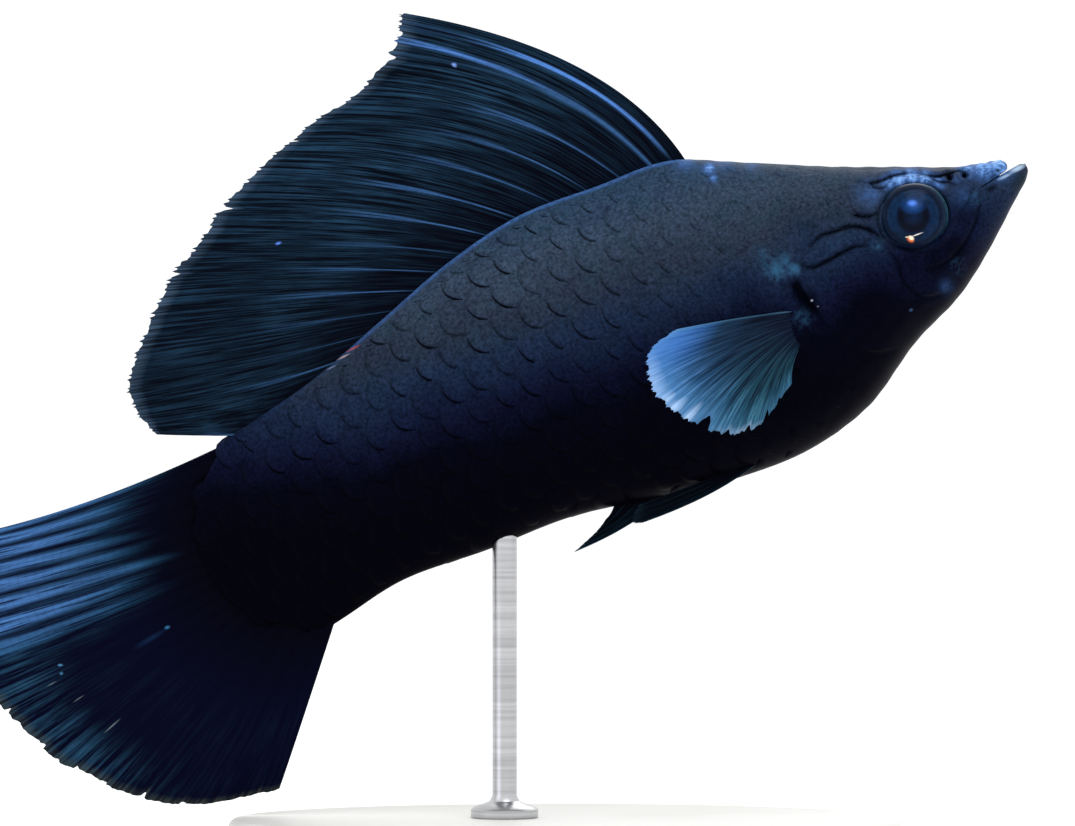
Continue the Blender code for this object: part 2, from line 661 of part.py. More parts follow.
def build_fins(collection, pose, dark, pale):
    """The sail, the tail, the breast and belly pairs, and the rod-like anal fin of a male."""
    sail = ray_grid("dorsal_fin", DORSAL_SHAPE, DORSAL_RAYS, 13, dorsal_place, **DORSAL_THICK)
    tail = ray_grid("tail_fin", TAIL_SHAPE, TAIL_RAYS, 10, tail_place, **TAIL_THICK)
    rod = ray_grid("gonopodium", ANAL_SHAPE, ANAL_RAYS, 7, anal_place, **ANAL_THICK, columns=4)
    breast = ray_grid(
        "pectoral_fin_left", PECTORAL_SHAPE, PECTORAL_RAYS, 7, pectoral_place, **PECTORAL_THICK, notch=0.04
    )
    belly = ray_grid("pelvic_fin_left", PELVIC_SHAPE, PELVIC_RAYS, 8, pelvic_place, **PELVIC_THICK, notch=0.04)
    breast = trimmed(breast, grown_trunk(), collection)
    belly = trimmed(belly, grown_trunk(), collection)
    for fin in (sail, trimmed(tail, grown_stem(), collection), rod):
        link(shade(fin, dark), collection, pose)
    for fin, finish in ((breast, pale), (belly, dark)):
        other = mirrored(fin, fin.name.replace("left", "right"))
        for obj in (fin, other):
            link(shade(obj, finish), collection, pose)


def build_base(collection, finish):
    """An oval slab with a small chamfer all round."""
    bpy.ops.mesh.primitive_cylinder_add(vertices=44, radius=0.5, depth=1, location=(0, 0, 0))
    base = bpy.context.active_object
    base.name = "stand_base"
    base.data.transform(Matrix.Diagonal((BASE_LENGTH, BASE_WIDTH, BASE_THICK, 1.0)))
    base.location = (0, 0, BASE_THICK / 2)
    chamfer = base.modifiers.new("chamfer", "BEVEL")
    chamfer.width = BASE_CHAMFER
    chamfer.segments = 1
    chamfer.limit_method = "ANGLE"
    for owner in list(base.users_collection):
        owner.objects.unlink(base)
    return link(shade(base, finish), collection)


def build_rod(collection, pose, finish):
    """A turned steel rod with a small foot, trimmed on top to the belly that it carries."""
    foot_bottom = BASE_THICK + GAP
    shoulder = foot_bottom + ROD_FOOT_HIGH
    profile = [
        (0.0, ROD_BLANK_TOP),
        (ROD_RADIUS, ROD_BLANK_TOP),
        (ROD_RADIUS, shoulder),
        (ROD_FOOT_RADIUS - ROD_FOOT_ROUNDING, shoulder - ROD_FOOT_ROUNDING / 2),
        (ROD_FOOT_RADIUS, foot_bottom + ROD_FOOT_ROUNDING),
        (ROD_FOOT_RADIUS, foot_bottom),
        (0.0, foot_bottom),
    ]
    mesh = bpy.data.meshes.new("rod_profile")
    mesh.from_pydata([(radius, 0, height) for radius, height in profile], [(k, k + 1) for k in range(6)], [])
    blank = bpy.data.objects.new("rod_blank", mesh)
    turning = blank.modifiers.new("turning", "SCREW")
    turning.steps = turning.render_steps = ROD_STEPS
    turning.use_merge_vertices = True
    turning.merge_threshold = 0.01 * MM
    collection.objects.link(blank)
    bpy.context.view_layer.update()
    rod = made_mesh(blank)
    rod.name = "stand_rod"
    rod.data.transform(Matrix.Translation((ROD_AT, 0, 0)))

    body = loft("belly_cutter", at(GILL_EDGE_THROAT), at(STEM_START), 40, grow=GAP)
    body.data.transform(pose.matrix_basis)
    combine(rod, [body], "DIFFERENCE")
    return link(shade(keep_largest(rod), finish), collection)


def main():
    clear_scene()
    molly = bpy.data.collections.new("black_molly")
    bpy.context.scene.collection.children.link(molly)
    pose = bpy.data.objects.new("swimming_pose", None)
    pose.location = (FISH_FORWARD, 0, FISH_HEIGHT)
    pose.rotation_euler = (0, -PITCH, 0)
    molly.objects.link(pose)
    bpy.context.view_layer.update()

    skin = material("scaled_skin", SKIN_COLOUR, 0.42)
    head_skin = material("head_skin", HEAD_COLOUR, 0.38)
    dark_fin = material("dark_fin", FIN_COLOUR, 0.35)
    pale_fin = material("pale_fin", PALE_FIN_COLOUR, 0.3)
    eye = material("eye", EYE_COLOUR, 0.08)
    steel = material("brushed_steel", STEEL_COLOUR, 0.3, metallic=1.0)
    lacquer = material("pale_lacquer", BASE_COLOUR, 0.4)

    build_head(molly, pose, head_skin)
    build_eyes(molly, pose, eye)
    build_body(molly, pose, skin)
    build_fins(molly, pose, dark_fin, pale_fin)
    build_base(molly, lacquer)
    build_rod(molly, pose, steel)


main()
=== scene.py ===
import math

import bmesh
import bpy
import numpy as np
from mathutils import Matrix, Vector


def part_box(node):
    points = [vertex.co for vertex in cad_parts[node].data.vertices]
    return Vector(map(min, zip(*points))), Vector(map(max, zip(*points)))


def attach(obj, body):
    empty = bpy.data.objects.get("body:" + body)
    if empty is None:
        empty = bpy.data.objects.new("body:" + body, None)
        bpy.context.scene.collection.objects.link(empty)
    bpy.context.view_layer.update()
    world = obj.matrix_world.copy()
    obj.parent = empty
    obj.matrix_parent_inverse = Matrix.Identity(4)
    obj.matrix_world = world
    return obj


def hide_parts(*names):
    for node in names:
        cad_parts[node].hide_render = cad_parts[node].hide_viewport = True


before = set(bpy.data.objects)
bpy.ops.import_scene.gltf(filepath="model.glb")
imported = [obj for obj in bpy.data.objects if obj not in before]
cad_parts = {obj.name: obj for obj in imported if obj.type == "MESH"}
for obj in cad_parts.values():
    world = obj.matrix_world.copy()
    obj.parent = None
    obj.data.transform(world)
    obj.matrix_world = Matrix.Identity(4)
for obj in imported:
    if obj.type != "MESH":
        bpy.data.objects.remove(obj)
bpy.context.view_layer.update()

# Skin. One unbroken hide from lips to tail fin, thin and wet over muscle and skull. It is shaped ring by
# ring, the gape is cut and the lips are fused on. A place on it is its distance from the jaw tip, its side
# (left is positive) and its height above the body's axis, before the fish is pitched nose up.
MM = 0.001
PITCH = math.radians(26)
JAW_TIP = Vector((41.0 * MM, 0.0, 62.9 * MM))
POSE = Matrix.Translation(JAW_TIP) @ Matrix.Rotation(-PITCH, 4, "Y")
UNPOSE = POSE.inverted()
SWAY = 4.0 * MM
SWAY_FROM = 42 * MM
SWAY_TO = 105 * MM
BODY_STATIONS = MM * np.array(
    [  # distance, back, belly, half width, height of the widest point
        (0.0, 0.50, -0.40, 1.05, 0.0),
        (0.5, 0.95, -1.00, 1.80, 0.0),
        (1.6, 1.50, -1.80, 2.40, 0.0),
        (5.1, 2.55, -4.40, 3.80, -0.3),
        (10.0, 4.90, -7.55, 5.30, -0.8),
        (15.5, 7.60, -9.65, 6.30, -0.8),
        (21.8, 11.05, -12.95, 7.05, -0.6),
        (28.2, 14.30, -14.15, 7.40, 0.2),
        (35.0, 15.10, -13.65, 7.25, 1.2),
        (42.5, 15.80, -12.00, 6.65, 2.0),
        (50.0, 14.80, -10.25, 5.70, 2.2),
        (58.0, 12.70, -9.62, 4.60, 1.8),
        (66.0, 10.65, -8.75, 3.50, 1.0),
        (74.0, 9.75, -9.65, 2.30, 0.2),
        (79.0, 9.60, -9.72, 1.35, 0.0),
        (82.0, 9.55, -9.80, 0.62, 0.0),
    ]
)
TAIL_FLATTENING = 0.35
GILL_EDGE_SIDE = 22.9 * MM
GILL_EDGE_TOP = 21.2 * MM
GILL_EDGE_THROAT = 15.2 * MM
STEM_START = 64 * MM
STEM_END = 81.2 * MM
STEM_END_ROUNDING = 7.4 * MM
HEAD_LENGTH = 26 * MM
HEAD_RING_STEP = 0.14 * MM
TRUNK_RING_STEP = 0.75 * MM
SKIN_AROUND = 330
CAP_SHARES = np.array([0.0, 0.3, 0.6, 0.85])  # sizes of the rings that close the body's ends
EYE_AT = (11.35, 0.45)  # these head places are in millimetres: distance and height
EYE_TALL = 0.89  # the eye's opening is a little wider than tall
EYE_SOCKET_RADIUS = 2.96
SOCKET_RIM, SOCKET_RIM_HALF, SOCKET_RIM_HIGH = 3.68, 0.28, 0.22  # from the eye's middle, half width, height
SOCKET_GROOVE, SOCKET_GROOVE_HALF, SOCKET_GROOVE_DEEP = 3.23, 0.13, 0.28
NOSTRILS = ((6.75, 2.15), (5.45, 1.75))
NOSTRIL_RADIUS = 0.36
GILL_SLIT_TOP = 0.3
HEAD_FOLDS = (  # places along the fold, half width, depth, and how far the skin above it is puffed up
    (((4.9, 1.75), (5.6, 2.25), (6.5, 2.45), (7.7, 2.70), (8.9, 3.55)), 0.15, 0.34, 0.12),
    (((6.7, 1.35), (7.05, 1.75), (7.8, 2.20), (8.4, 2.9)), 0.13, 0.26, 0.06),
    (((9.6, 4.05), (11.1, 4.45), (12.5, 4.55), (13.7, 4.85), (14.5, 5.45)), 0.15, 0.34, 0.12),
    (((12.0, 3.95), (12.6, 3.88), (13.4, 4.42), (14.1, 4.7)), 0.12, 0.24, 0.0),
    (((15.4, 5.3), (15.85, 4.55), (16.1, 3.5), (15.75, 2.7), (14.8, 2.15), (13.8, 2.15)), 0.16, 0.36, 0.16),
    (
        ((20.8, 1.95), (19.7, 2.44), (18.2, 2.3), (16.6, 2.03), (15.5, 1.2), (14.95, 0.4), (14.9, -0.6)),
        0.16,
        0.4,
        0.1,
    ),
    (((22.3, 1.2), (21.7, 0.45), (20.2, 0.22), (18.2, 0.35), (17.2, 0.3), (16.2, -0.1)), 0.16, 0.36, 0.06),
    (((14.9, -0.6), (14.45, -2.1), (14.6, -4.6), (13.6, -6.4), (11.4, -7.0)), 0.20, 0.15, 0.05),
    (((4.9, -0.1), (5.5, -1.2), (6.6, -2.5), (8.6, -3.9), (10.8, -4.5), (12.6, -4.2)), 0.18, 0.15, 0.04),
    (((5.0, 0.6), (5.6, 0.2), (6.4, -0.6), (7.4, -1.1)), 0.15, 0.12, 0.03),
    (((24.9, 2.6), (25.2, 0.9), (24.6, -0.1), (23.7, -0.4)), 0.18, 0.26, 0.0),
    (((9.1, 4.6), (10.6, 5.15), (12.6, 5.9), (14.9, 7.2)), 0.14, 0.18, 0.05),
    (((19.6, 9.3), (18.8, 8.9), (18.0, 8.1), (17.2, 7.8)), 0.12, 0.15, 0.0),
    (((18.2, 6.9), (17.3, 6.4), (16.7, 5.5), (15.8, 5.2)), 0.12, 0.15, 0.03),
    (((20.4, 3.9), (19.3, 3.5), (18.6, 3.7), (17.5, 3.2)), 0.11, 0.12, 0.02),
    (((13.9, 1.2), (14.2, 0.2), (13.8, -1.1), (12.9, -2.2), (11.6, -2.95), (10.2, -3.15)), 0.16, 0.16, 0.03),
)
UPPER_JAW_FRONT = 1.75 * MM
MOUTH_CORNER = 4.7 * MM
MOUTH_LOW = 0.32 * MM
MOUTH_HIGH = 0.55 * MM
CORNER_LOW = 0.05 * MM
CORNER_HIGH = 0.15 * MM
MOUTH_LINING_DEPTH = 1.3 * MM
MOUTH_LINING_FRONT = 2.5 * MM
LIP_FULLNESS = 0.75
LIP_END_SHARE = 0.55
UPPER_LIP = {"front": 1.95 * MM, "front_height": 0.98 * MM, "corner_height": 0.5 * MM, "radius": 0.52 * MM}
LOWER_LIP = {"front": 0.45 * MM, "front_height": 0.08 * MM, "corner_height": -0.14 * MM, "radius": 0.42 * MM}


def curve_through(knots, values, at):
    """A smooth curve through the values at the knots, read at other places."""
    knots, values, at = np.asarray(knots, float), np.asarray(values, float), np.asarray(at, float)
    slopes = np.gradient(values, knots)
    place = np.clip(np.searchsorted(knots, at, side="right") - 1, 0, len(knots) - 2)
    step = knots[place + 1] - knots[place]
    x = np.clip((at - knots[place]) / step, 0.0, 1.0)
    start_part = (1 + 2 * x) * (1 - x) ** 2 * values[place] + x * (1 - x) ** 2 * step * slopes[place]
    end_part = x**2 * (3 - 2 * x) * values[place + 1] + x**2 * (x - 1) * step * slopes[place + 1]
    return start_part + end_part


def smooth_step(low, high, value):
    """0 below low, 1 above high, and an easy slope between."""
    share = np.clip((value - low) / (high - low), 0.0, 1.0)
    return share * share * (3 - 2 * share)


def swell(at, half, place):
    """A soft hump of height 1 at a place. half is its half width."""
    return np.exp(-(((place - at) / half) ** 2))


def station(distance):
    return [curve_through(BODY_STATIONS[:, 0], BODY_STATIONS[:, k], distance) for k in range(1, 5)]


def side_exponent(distance):
    share = np.clip((distance - SWAY_FROM) / (STEM_END - SWAY_FROM), 0.0, 1.0)
    return 1.0 + TAIL_FLATTENING * share


def sway(distance):
    """How far the body's middle plane bends to the left."""
    return SWAY * (np.maximum(np.asarray(distance) - SWAY_FROM, 0.0) / (SWAY_TO - SWAY_FROM)) ** 2


def body_point(distance, angle, grow=0.0):
    """A point of the hide in the fish's own frame. Angle 0 is the left side, a quarter turn the back."""
    back, belly, half_width, middle = station(distance)
    cosine, sine = np.cos(angle), np.sin(angle)
    side = (half_width + grow) * np.sign(cosine) * np.abs(cosine) ** side_exponent(distance)
    reach = np.where(sine > 0, back + grow - middle, middle - belly + grow)
    return np.stack([-distance, sway(distance) + side, middle + sine * reach], axis=-1)


def flank(distance, height):
    """How far the left flank is from the middle plane at a height."""
    back, belly, half_width, middle = station(distance)
    reach = np.where(height > middle, back - middle, middle - belly)
    sine = np.clip(np.abs(height - middle) / reach, 0.0, 1.0)
    return half_width * np.sqrt(1 - sine**2) ** side_exponent(distance)


def flank_normal(distance, height, small=0.2 * MM):
    along = (flank(distance + small, height) - flank(distance - small, height)) / (2 * small)
    up = (flank(distance, height + small) - flank(distance, height - small)) / (2 * small)
    return Vector((float(along), 1.0, -float(up))).normalized()


def gill_edge(angle):
    """The distance of the gill cover's rear edge."""
    sine = np.sin(angle)
    up = (GILL_EDGE_TOP - GILL_EDGE_SIDE) * np.maximum(sine, 0) ** 2
    down = (GILL_EDGE_THROAT - GILL_EDGE_SIDE) * np.maximum(-sine, 0) ** 2.5
    return GILL_EDGE_SIDE + up + down


def stem_end_at_share(share):
    return STEM_END - STEM_END_ROUNDING * np.abs(share) ** 2.6


def fold_distance(fold, distance, height, steps=28):
    """How far each place is from a fold in millimetres, on which side, and how near the fold's ends."""
    corners = np.array(fold, float)
    run = np.concatenate([[0], np.cumsum(np.hypot(*np.diff(corners, axis=0).T))])
    at = np.linspace(0, run[-1], steps)
    path = np.stack([curve_through(run, corners[:, axis], at) for axis in (0, 1)], axis=-1)
    best = np.full(distance.shape, np.inf)
    side = np.zeros(distance.shape)
    along = np.zeros(distance.shape)
    for k, (start, end) in enumerate(zip(path, path[1:])):
        leg = end - start
        offset_s, offset_h = distance - start[0], height - start[1]
        t = np.clip((offset_s * leg[0] + offset_h * leg[1]) / leg.dot(leg), 0, 1)
        away = np.hypot(offset_s - t * leg[0], offset_h - t * leg[1])
        closer = away < best
        best = np.where(closer, away, best)
        side = np.where(closer, np.sign(leg[0] * offset_h - leg[1] * offset_s), side)
        along = np.where(closer, (k + t) / (steps - 1), along)
    return best, side, along


SHEATH_FROM, SHEATH_TO = 25.0, 72.5  # the low fleshy ridge that carries the back fin, in millimetres
SHEATH_HIGH = 0.16


def sheath_span(s):
    return smooth_step(SHEATH_FROM, SHEATH_FROM + 2, s) * (1 - smooth_step(SHEATH_TO - 3, SHEATH_TO, s))


def head_relief(distance, height, angle):
    """How far the skin stands out from the plain body, in metres, and how much painted shade darkens its
    folds, pits and slits, 0 to 1.
    """
    s, h = distance / MM, height / MM
    lift, dark = np.zeros(s.shape), np.zeros(s.shape)
    near = s < HEAD_LENGTH / MM + 1
    below_back = station(distance)[0] / MM - h
    on_side = smooth_step(0.1, 0.7, below_back[near])
    for fold, width, depth, puff in HEAD_FOLDS:
        away, side, along = fold_distance(fold, s[near], h[near])
        fade = on_side * np.sin(np.pi * np.clip(along, 0.02, 0.98)) ** 0.4
        groove = swell(0, width, away) * fade
        above = side * np.sign(fold[-1][0] - fold[0][0]) > 0
        puffed = swell(0.5, 0.45, away) * fade * above
        lift[near] += puff * puffed - depth * groove
        # Painted shade in the fold's groove.
        shade = min(1.3, 4.2 * depth) * swell(0, 1.05 * width, away) * fade
        dark[near] = np.maximum(dark[near], shade)

    from_eye = np.hypot(s - EYE_AT[0], (h - EYE_AT[1]) / EYE_TALL)
    lift += SOCKET_RIM_HIGH * swell(SOCKET_RIM, SOCKET_RIM_HALF, from_eye)
    lift -= SOCKET_GROOVE_DEEP * swell(SOCKET_GROOVE, SOCKET_GROOVE_HALF, from_eye)
    lift -= 1 - smooth_step(EYE_SOCKET_RADIUS - 0.4, EYE_SOCKET_RADIUS, from_eye)
    # Painted shade in the groove round the eye.
    dark = np.maximum(dark, 0.6 * swell(3.21, 0.12, from_eye))
    for place in NOSTRILS:
        away = np.hypot(s - place[0], h - place[1])
        lift += 0.16 * swell(1.5 * NOSTRIL_RADIUS, 0.2, away)
        pit = 1 - smooth_step(0.5 * NOSTRIL_RADIUS, 1.15 * NOSTRIL_RADIUS, away)
        lift -= 0.6 * pit
        # Painted shade in the nostril's pit.
        dark = np.maximum(dark, pit)

    behind = (distance - gill_edge(angle)) / MM
    opening = 1 - smooth_step(GILL_SLIT_TOP - 0.8, GILL_SLIT_TOP, h)
    opening *= 1 - 0.75 * smooth_step(2.8, 5.5, -h)
    cover = 0.24 * swell(0, 2.2, np.minimum(behind, 0)) * (behind <= 0)
    slit = smooth_step(0.0, 0.16, behind) * (1 - smooth_step(0.45, 1.5, behind))
    opening *= 1 - smooth_step(0.7, 0.92, -np.sin(angle))
    lift += opening * (cover - 0.6 * slit)
    # Painted shade in the gill slit.
    dark = np.maximum(dark, 0.9 * opening * slit * (1 - 0.85 * smooth_step(2.6, 4.4, -h)))
    lift += SHEATH_HIGH * sheath_span(s) * swell(0.3, 0.4, below_back)
    fine = 0.03 * np.sin(2.3 * s + 1.7 * h) * np.sin(1.9 * h - 0.8 * s) * near
    lumpy = (1 - smooth_step(3.2, 5.0, s)) * smooth_step(0.7, 1.2, h)
    fine += 0.09 * lumpy * np.sin(5.1 * s - 2.2 * h) * np.sin(3.3 * h + 2.1 * s + 0.8)
    return MM * (lift + fine), np.clip(dark, 0, 1)


def placed_grid(across, along, place):
    """A sheet of across by along faces, whose points place() moves from shares across and along it."""
    made = bmesh.new()
    bmesh.ops.create_grid(made, x_segments=across, y_segments=along, size=1.0)
    flat = np.array([vert.co[:2] for vert in made.verts])
    for vert, spot in zip(made.verts, place((flat[:, 0] + 1) / 2, (flat[:, 1] + 1) / 2)):
        vert.co = spot
    return made


def body_rings():
    """Each ring's distance from the jaw tip: close together on the head, wider behind it."""
    head = np.arange(0.0, HEAD_LENGTH, HEAD_RING_STEP)
    behind = np.arange(HEAD_LENGTH, STEM_END, TRUNK_RING_STEP)
    return np.concatenate([head, behind, [STEM_END]])


def closed_body(rings, around, form):
    """A closed length of the body. form gives the points of a ring from its distance and angles."""
    shares = np.concatenate([CAP_SHARES, np.ones(len(rings)), CAP_SHARES[::-1]])
    distances = np.pad(rings, len(CAP_SHARES), mode="edge")

    def place(along, turn):
        number = np.rint(along * (len(shares) - 1)).astype(int)
        distance, share, angle = distances[number], shares[number], turn * math.tau
        end = stem_end_at_share(np.sin(angle))
        past = np.maximum(distance - STEM_START, 0) / (STEM_END - STEM_START)
        distance = np.where(distance > STEM_START, STEM_START + past * (end - STEM_START), distance)
        edge = form(distance, angle)
        _, _, _, middle = station(distance)
        centre = np.stack([-distances[number], sway(distance), middle], axis=-1)
        capped = centre + (edge - centre) * share[:, None]
        capped[:, 0] = centre[:, 0] + (edge[:, 0] - centre[:, 0]) * share**2
        return np.where(share[:, None] < 1, capped, edge)

    made = placed_grid(len(shares) - 1, around, place)
    bmesh.ops.remove_doubles(made, verts=made.verts, dist=0.001 * MM)
    bmesh.ops.recalc_face_normals(made, faces=made.faces)
    return made


def creased_form(distance, angle):
    plain = body_point(distance, angle)
    lift, _ = head_relief(distance, plain[:, 2], angle)
    return body_point(distance, angle, lift)


def as_object(name, made):
    """An object in the scene from a bmesh."""
    mesh = bpy.data.meshes.new(name)
    made.to_mesh(mesh)
    made.free()
    obj = bpy.data.objects.new(name, mesh)
    bpy.context.scene.collection.objects.link(obj)
    return obj


def joined(obj, others, operation):
    """Cuts the others from obj, or fuses them on, for good."""
    for other in others:
        change = obj.modifiers.new(operation.lower(), "BOOLEAN")
        change.operation = operation
        change.object = other
        change.solver = "EXACT"
        bpy.context.view_layer.update()
        mesh = bpy.data.meshes.new_from_object(obj.evaluated_get(bpy.context.evaluated_depsgraph_get()))
        obj.modifiers.clear()
        obj.data = mesh
        bpy.data.objects.remove(other)
    return obj


def gape():
    """The space between the jaws, open in front and narrowing back to the corner of the mouth."""
    outline = [
        (-2 * MM, MOUTH_LOW),
        (-2 * MM, 4 * MM),
        (UPPER_JAW_FRONT, 4 * MM),
        (UPPER_JAW_FRONT, MOUTH_HIGH),
        (MOUTH_CORNER, CORNER_HIGH),
        (MOUTH_CORNER, CORNER_LOW),
        (UPPER_JAW_FRONT, MOUTH_LOW),
    ]
    made = bmesh.new()
    face = made.faces.new([made.verts.new((-distance, -8 * MM, height)) for distance, height in outline])
    swept = bmesh.ops.extrude_face_region(made, geom=[face])
    moved = [item for item in swept["geom"] if isinstance(item, bmesh.types.BMVert)]
    bmesh.ops.translate(made, vec=(0, 16 * MM, 0), verts=moved)
    bmesh.ops.recalc_face_normals(made, faces=made.faces)
    return as_object("gape", made)


def mouth_lining():
    """The soft floor and roof of the mouth, which close the slot between the jaws from inside."""
    rings = np.linspace(MOUTH_LINING_FRONT, 9 * MM, 12)
    lining = closed_body(rings, 32, lambda s, a: body_point(s, a, -MOUTH_LINING_DEPTH))
    return as_object("mouth_lining", lining)


def lip(name, size, steps=61):
    """A lip: a fleshy cord from one corner of the mouth round the snout to the other."""
    curve = bpy.data.curves.new(name, "CURVE")
    curve.dimensions = "3D"
    curve.bevel_depth = size["radius"]
    curve.bevel_resolution = 5
    curve.use_fill_caps = True
    spline = curve.splines.new("POLY")
    spline.points.add(steps - 1)
    for target, turn in zip(spline.points, np.linspace(math.pi / 2, -math.pi / 2, steps)):
        back = 1 - math.cos(turn)
        distance = size["front"] + (MOUTH_CORNER - size["front"]) * back
        height = size["front_height"] + (size["corner_height"] - size["front_height"]) * back
        widest = float(flank(MOUTH_CORNER, size["corner_height"]))
        side = min(widest * abs(math.sin(turn)) ** LIP_FULLNESS, float(flank(distance, height)))
        side = max(side - size["radius"] / 2, 0.0)
        target.co = (-distance, math.copysign(side, turn), height, 1.0)
        target.radius = 1 - (1 - LIP_END_SHARE) * abs(2 * turn / math.pi) ** 3
    tube = bpy.data.objects.new(name, curve)
    bpy.context.scene.collection.objects.link(tube)
    bpy.context.view_layer.update()
    mesh = bpy.data.meshes.new_from_object(tube.evaluated_get(bpy.context.evaluated_depsgraph_get()))
    bpy.data.objects.remove(tube)
    made = bmesh.new()
    made.from_mesh(mesh)
    bmesh.ops.remove_doubles(made, verts=made.verts, dist=0.005 * MM)
    bmesh.ops.recalc_face_normals(made, faces=made.faces)
    return as_object(name, made)


def own_frame(mesh):
    """A mesh's points as distance, side and height on the fish, in millimetres."""
    points = np.zeros(len(mesh.vertices) * 3)
    mesh.vertices.foreach_get("co", points)
    turned = points.reshape(-1, 3) @ np.array(UNPOSE.to_3x3()).T + np.array(UNPOSE.translation)
    return -turned[:, 0] / MM, turned[:, 1] / MM, turned[:, 2] / MM


BLUE_AND_HIGHLIGHT_PATCHES = (  # own blue and painted highlight: distance, height, radius in millimetres, strength
    (2.3, 1.2, 1.3, 1.0),
    (3.5, 1.7, 1.3, 1.0),
    (4.8, 2.2, 1.1, 0.8),
    (11.9, 4.1, 0.8, 0.8),
    (10.9, 4.0, 0.95, 1.0),
    (9.8, 3.7, 0.95, 1.0),
    (8.8, 3.0, 0.9, 1.0),
    (7.9, 2.2, 0.75, 0.75),
    (6.2, 1.9, 0.8, 0.35),
    (13.8, 3.9, 1.4, 0.42),
    (6.4, 0.3, 1.3, 0.25),
    (11.3, -6.4, 0.7, 0.3),
    (25.5, 12.2, 0.6, 0.9),
    (23.9, 12.5, 1.3, 0.5),
    (25.6, 11.2, 0.35, 0.9),
    (22.0, 10.9, 0.8, 0.4),
    (27.2, 13.7, 1.0, 0.6),
)
TEAL_PATCHES = (  # duller, greener skin round the cheek and the gill opening
    (24.3, 1.5, 0.9, 0.9),
    (23.3, 1.9, 0.6, 0.7),
    (22.9, 0.9, 0.6, 0.9),
    (24.9, 3.2, 1.0, 0.35),
    (15.3, -0.4, 0.8, 0.35),
    (18.6, 1.3, 1.9, 0.2),
    (24.0, -3.2, 1.2, 0.3),
    (9.6, -5.2, 1.0, 0.25),
    (5.6, -0.6, 1.1, 0.25),
)
DARK_AND_SHADED_PATCHES = (  # the throat's dark pigment, and painted shade below the eye and over the gill cover
    (7.2, -1.3, 1.7, 0.9),
    (9.3, -3.4, 1.8, 0.8),
    (13.2, -3.0, 1.6, 0.6),
    (11.2, -3.7, 1.6, 0.7),
    (18.0, -4.6, 2.6, 0.5),
    (20.6, 4.2, 2.2, 0.4),
    (28.0, 1.4, 2.6, 0.35),
)


def patches(places, s, h):
    total = np.zeros(s.shape)
    for distance, height, radius, strength in places:
        total = np.maximum(total, strength * np.exp(-((s - distance) ** 2 + (h - height) ** 2) / radius**2))
    return total


def markings(s, h):
    """Where the hide is bright blue, partly its own colour and partly painted highlight, also along the back
    fin's sheath, and where it is teal.
    """
    below_back = station(s * MM)[0] / MM - h
    # The sheath's pale blue line, partly painted highlight, fades towards the tail.
    worn = 0.62 - 0.12 * smooth_step(44, 58, s) - 0.36 * smooth_step(60, 64, s)
    sheath = sheath_span(s) * (1 - smooth_step(0.05, 0.48, below_back)) * worn
    return np.maximum(patches(BLUE_AND_HIGHLIGHT_PATCHES, s, h), sheath), patches(TEAL_PATCHES, s, h)


def paint_masks(mesh, dark=None):
    """Stores the markings by point: blue skin and painted highlight in red, teal in green, painted shade of
    folds, pits and slits in blue, and dark patches, partly painted shade, in alpha.
    """
    s, _, h = own_frame(mesh)
    blue, teal = markings(s, h)
    if dark is None:
        dark = np.zeros(len(s))
    layer = mesh.attributes.new("markings", "FLOAT_COLOR", "POINT")
    gloom = patches(DARK_AND_SHADED_PATCHES, s, h)
    layer.data.foreach_set("color", np.stack([blue, teal, np.clip(dark, 0, 1), gloom], axis=-1).ravel())


def linear(text):
    """A linear colour from an sRGB hex value such as 3a4a66."""
    parts = [int(text[k : k + 2], 16) / 255 for k in (0, 2, 4)]
    parts = [part / 12.92 if part <= 0.04045 else ((part + 0.055) / 1.055) ** 2.4 for part in parts]
    return (*parts, 1.0)


def connect(tree, node, links):
    """Feeds a node's inputs with sockets, other nodes' first outputs, values or hex colours."""
    for place, source in links.items():
        if isinstance(source, bpy.types.Node):
            source = next(socket for socket in source.outputs if socket.enabled)
        if isinstance(source, bpy.types.NodeSocket):
            tree.links.new(source, node.inputs[place])
        else:
            node.inputs[place].default_value = linear(source) if isinstance(source, str) else source


def add(tree, kind, links=None, stops=(), **settings):
    """A node with its settings and fed inputs. stops are a colour ramp's places and hex colours."""
    made = tree.nodes.new("ShaderNode" + kind)
    for name, value in settings.items():
        setattr(made, name, value)
    for _ in stops[2:]:
        made.color_ramp.elements.new(1.0)
    for k, (place, colour) in enumerate(stops):
        made.color_ramp.elements[k].position = place
        made.color_ramp.elements[k].color = linear(colour)
    connect(tree, made, links or {})
    return made


def finish_named(name, **sockets):
    """A material and its surface shader, whose sockets take these values."""
    made = bpy.data.materials.new(name)
    made.use_nodes = True
    shader = made.node_tree.nodes["Principled BSDF"]
    for socket, value in sockets.items():
        shader.inputs[socket.replace("_", " ")].default_value = value
    return made, made.node_tree, shader


WET_TINT = linear("a9c2ff")  # the cool tint of the light that wet skin throws back
BAND_TILT = 0.15  # how many millimetres the colour bands climb for each millimetre towards the tail
BAND_DRIFT = 4.0  # how far they wander up and down, in millimetres
BAND_LOW, BAND_HIGH = -10.0, 15.0
BAND_MIDDLE = 33  # how far behind the jaw tip the bands' heights hold, in millimetres
THROUGH = 1000.0  # a mark goes through the whole fish, so both sides show it
# Colour bands of the hide: partly the fish's own dark pigment and partly painted light from above, lighter
# high on the flank and in painted shade low down.
HIDE_TONE_AND_TOP_LIGHT_BANDS = (  # height of the band above the line through the flank, and its colour
    (-9.0, "030208"),
    (-4.0, "04040f"),
    (-2.0, "0b0d22"),
    (0.0, "111930"),
    (3.0, "1d2a40"),
    (6.0, "293341"),
    (10.0, "364353"),
    (14.0, "2f4457"),
)
STEM_GLOOM_FROM, STEM_GLOOM_TO, STEM_GLOOM_DROP = 66.0, 76.0, -2.6  # the tail's root is darker all round
GLOOM_DROP = -4.5  # how far down the colour bands a dark patch, partly painted shade, goes, in millimetres
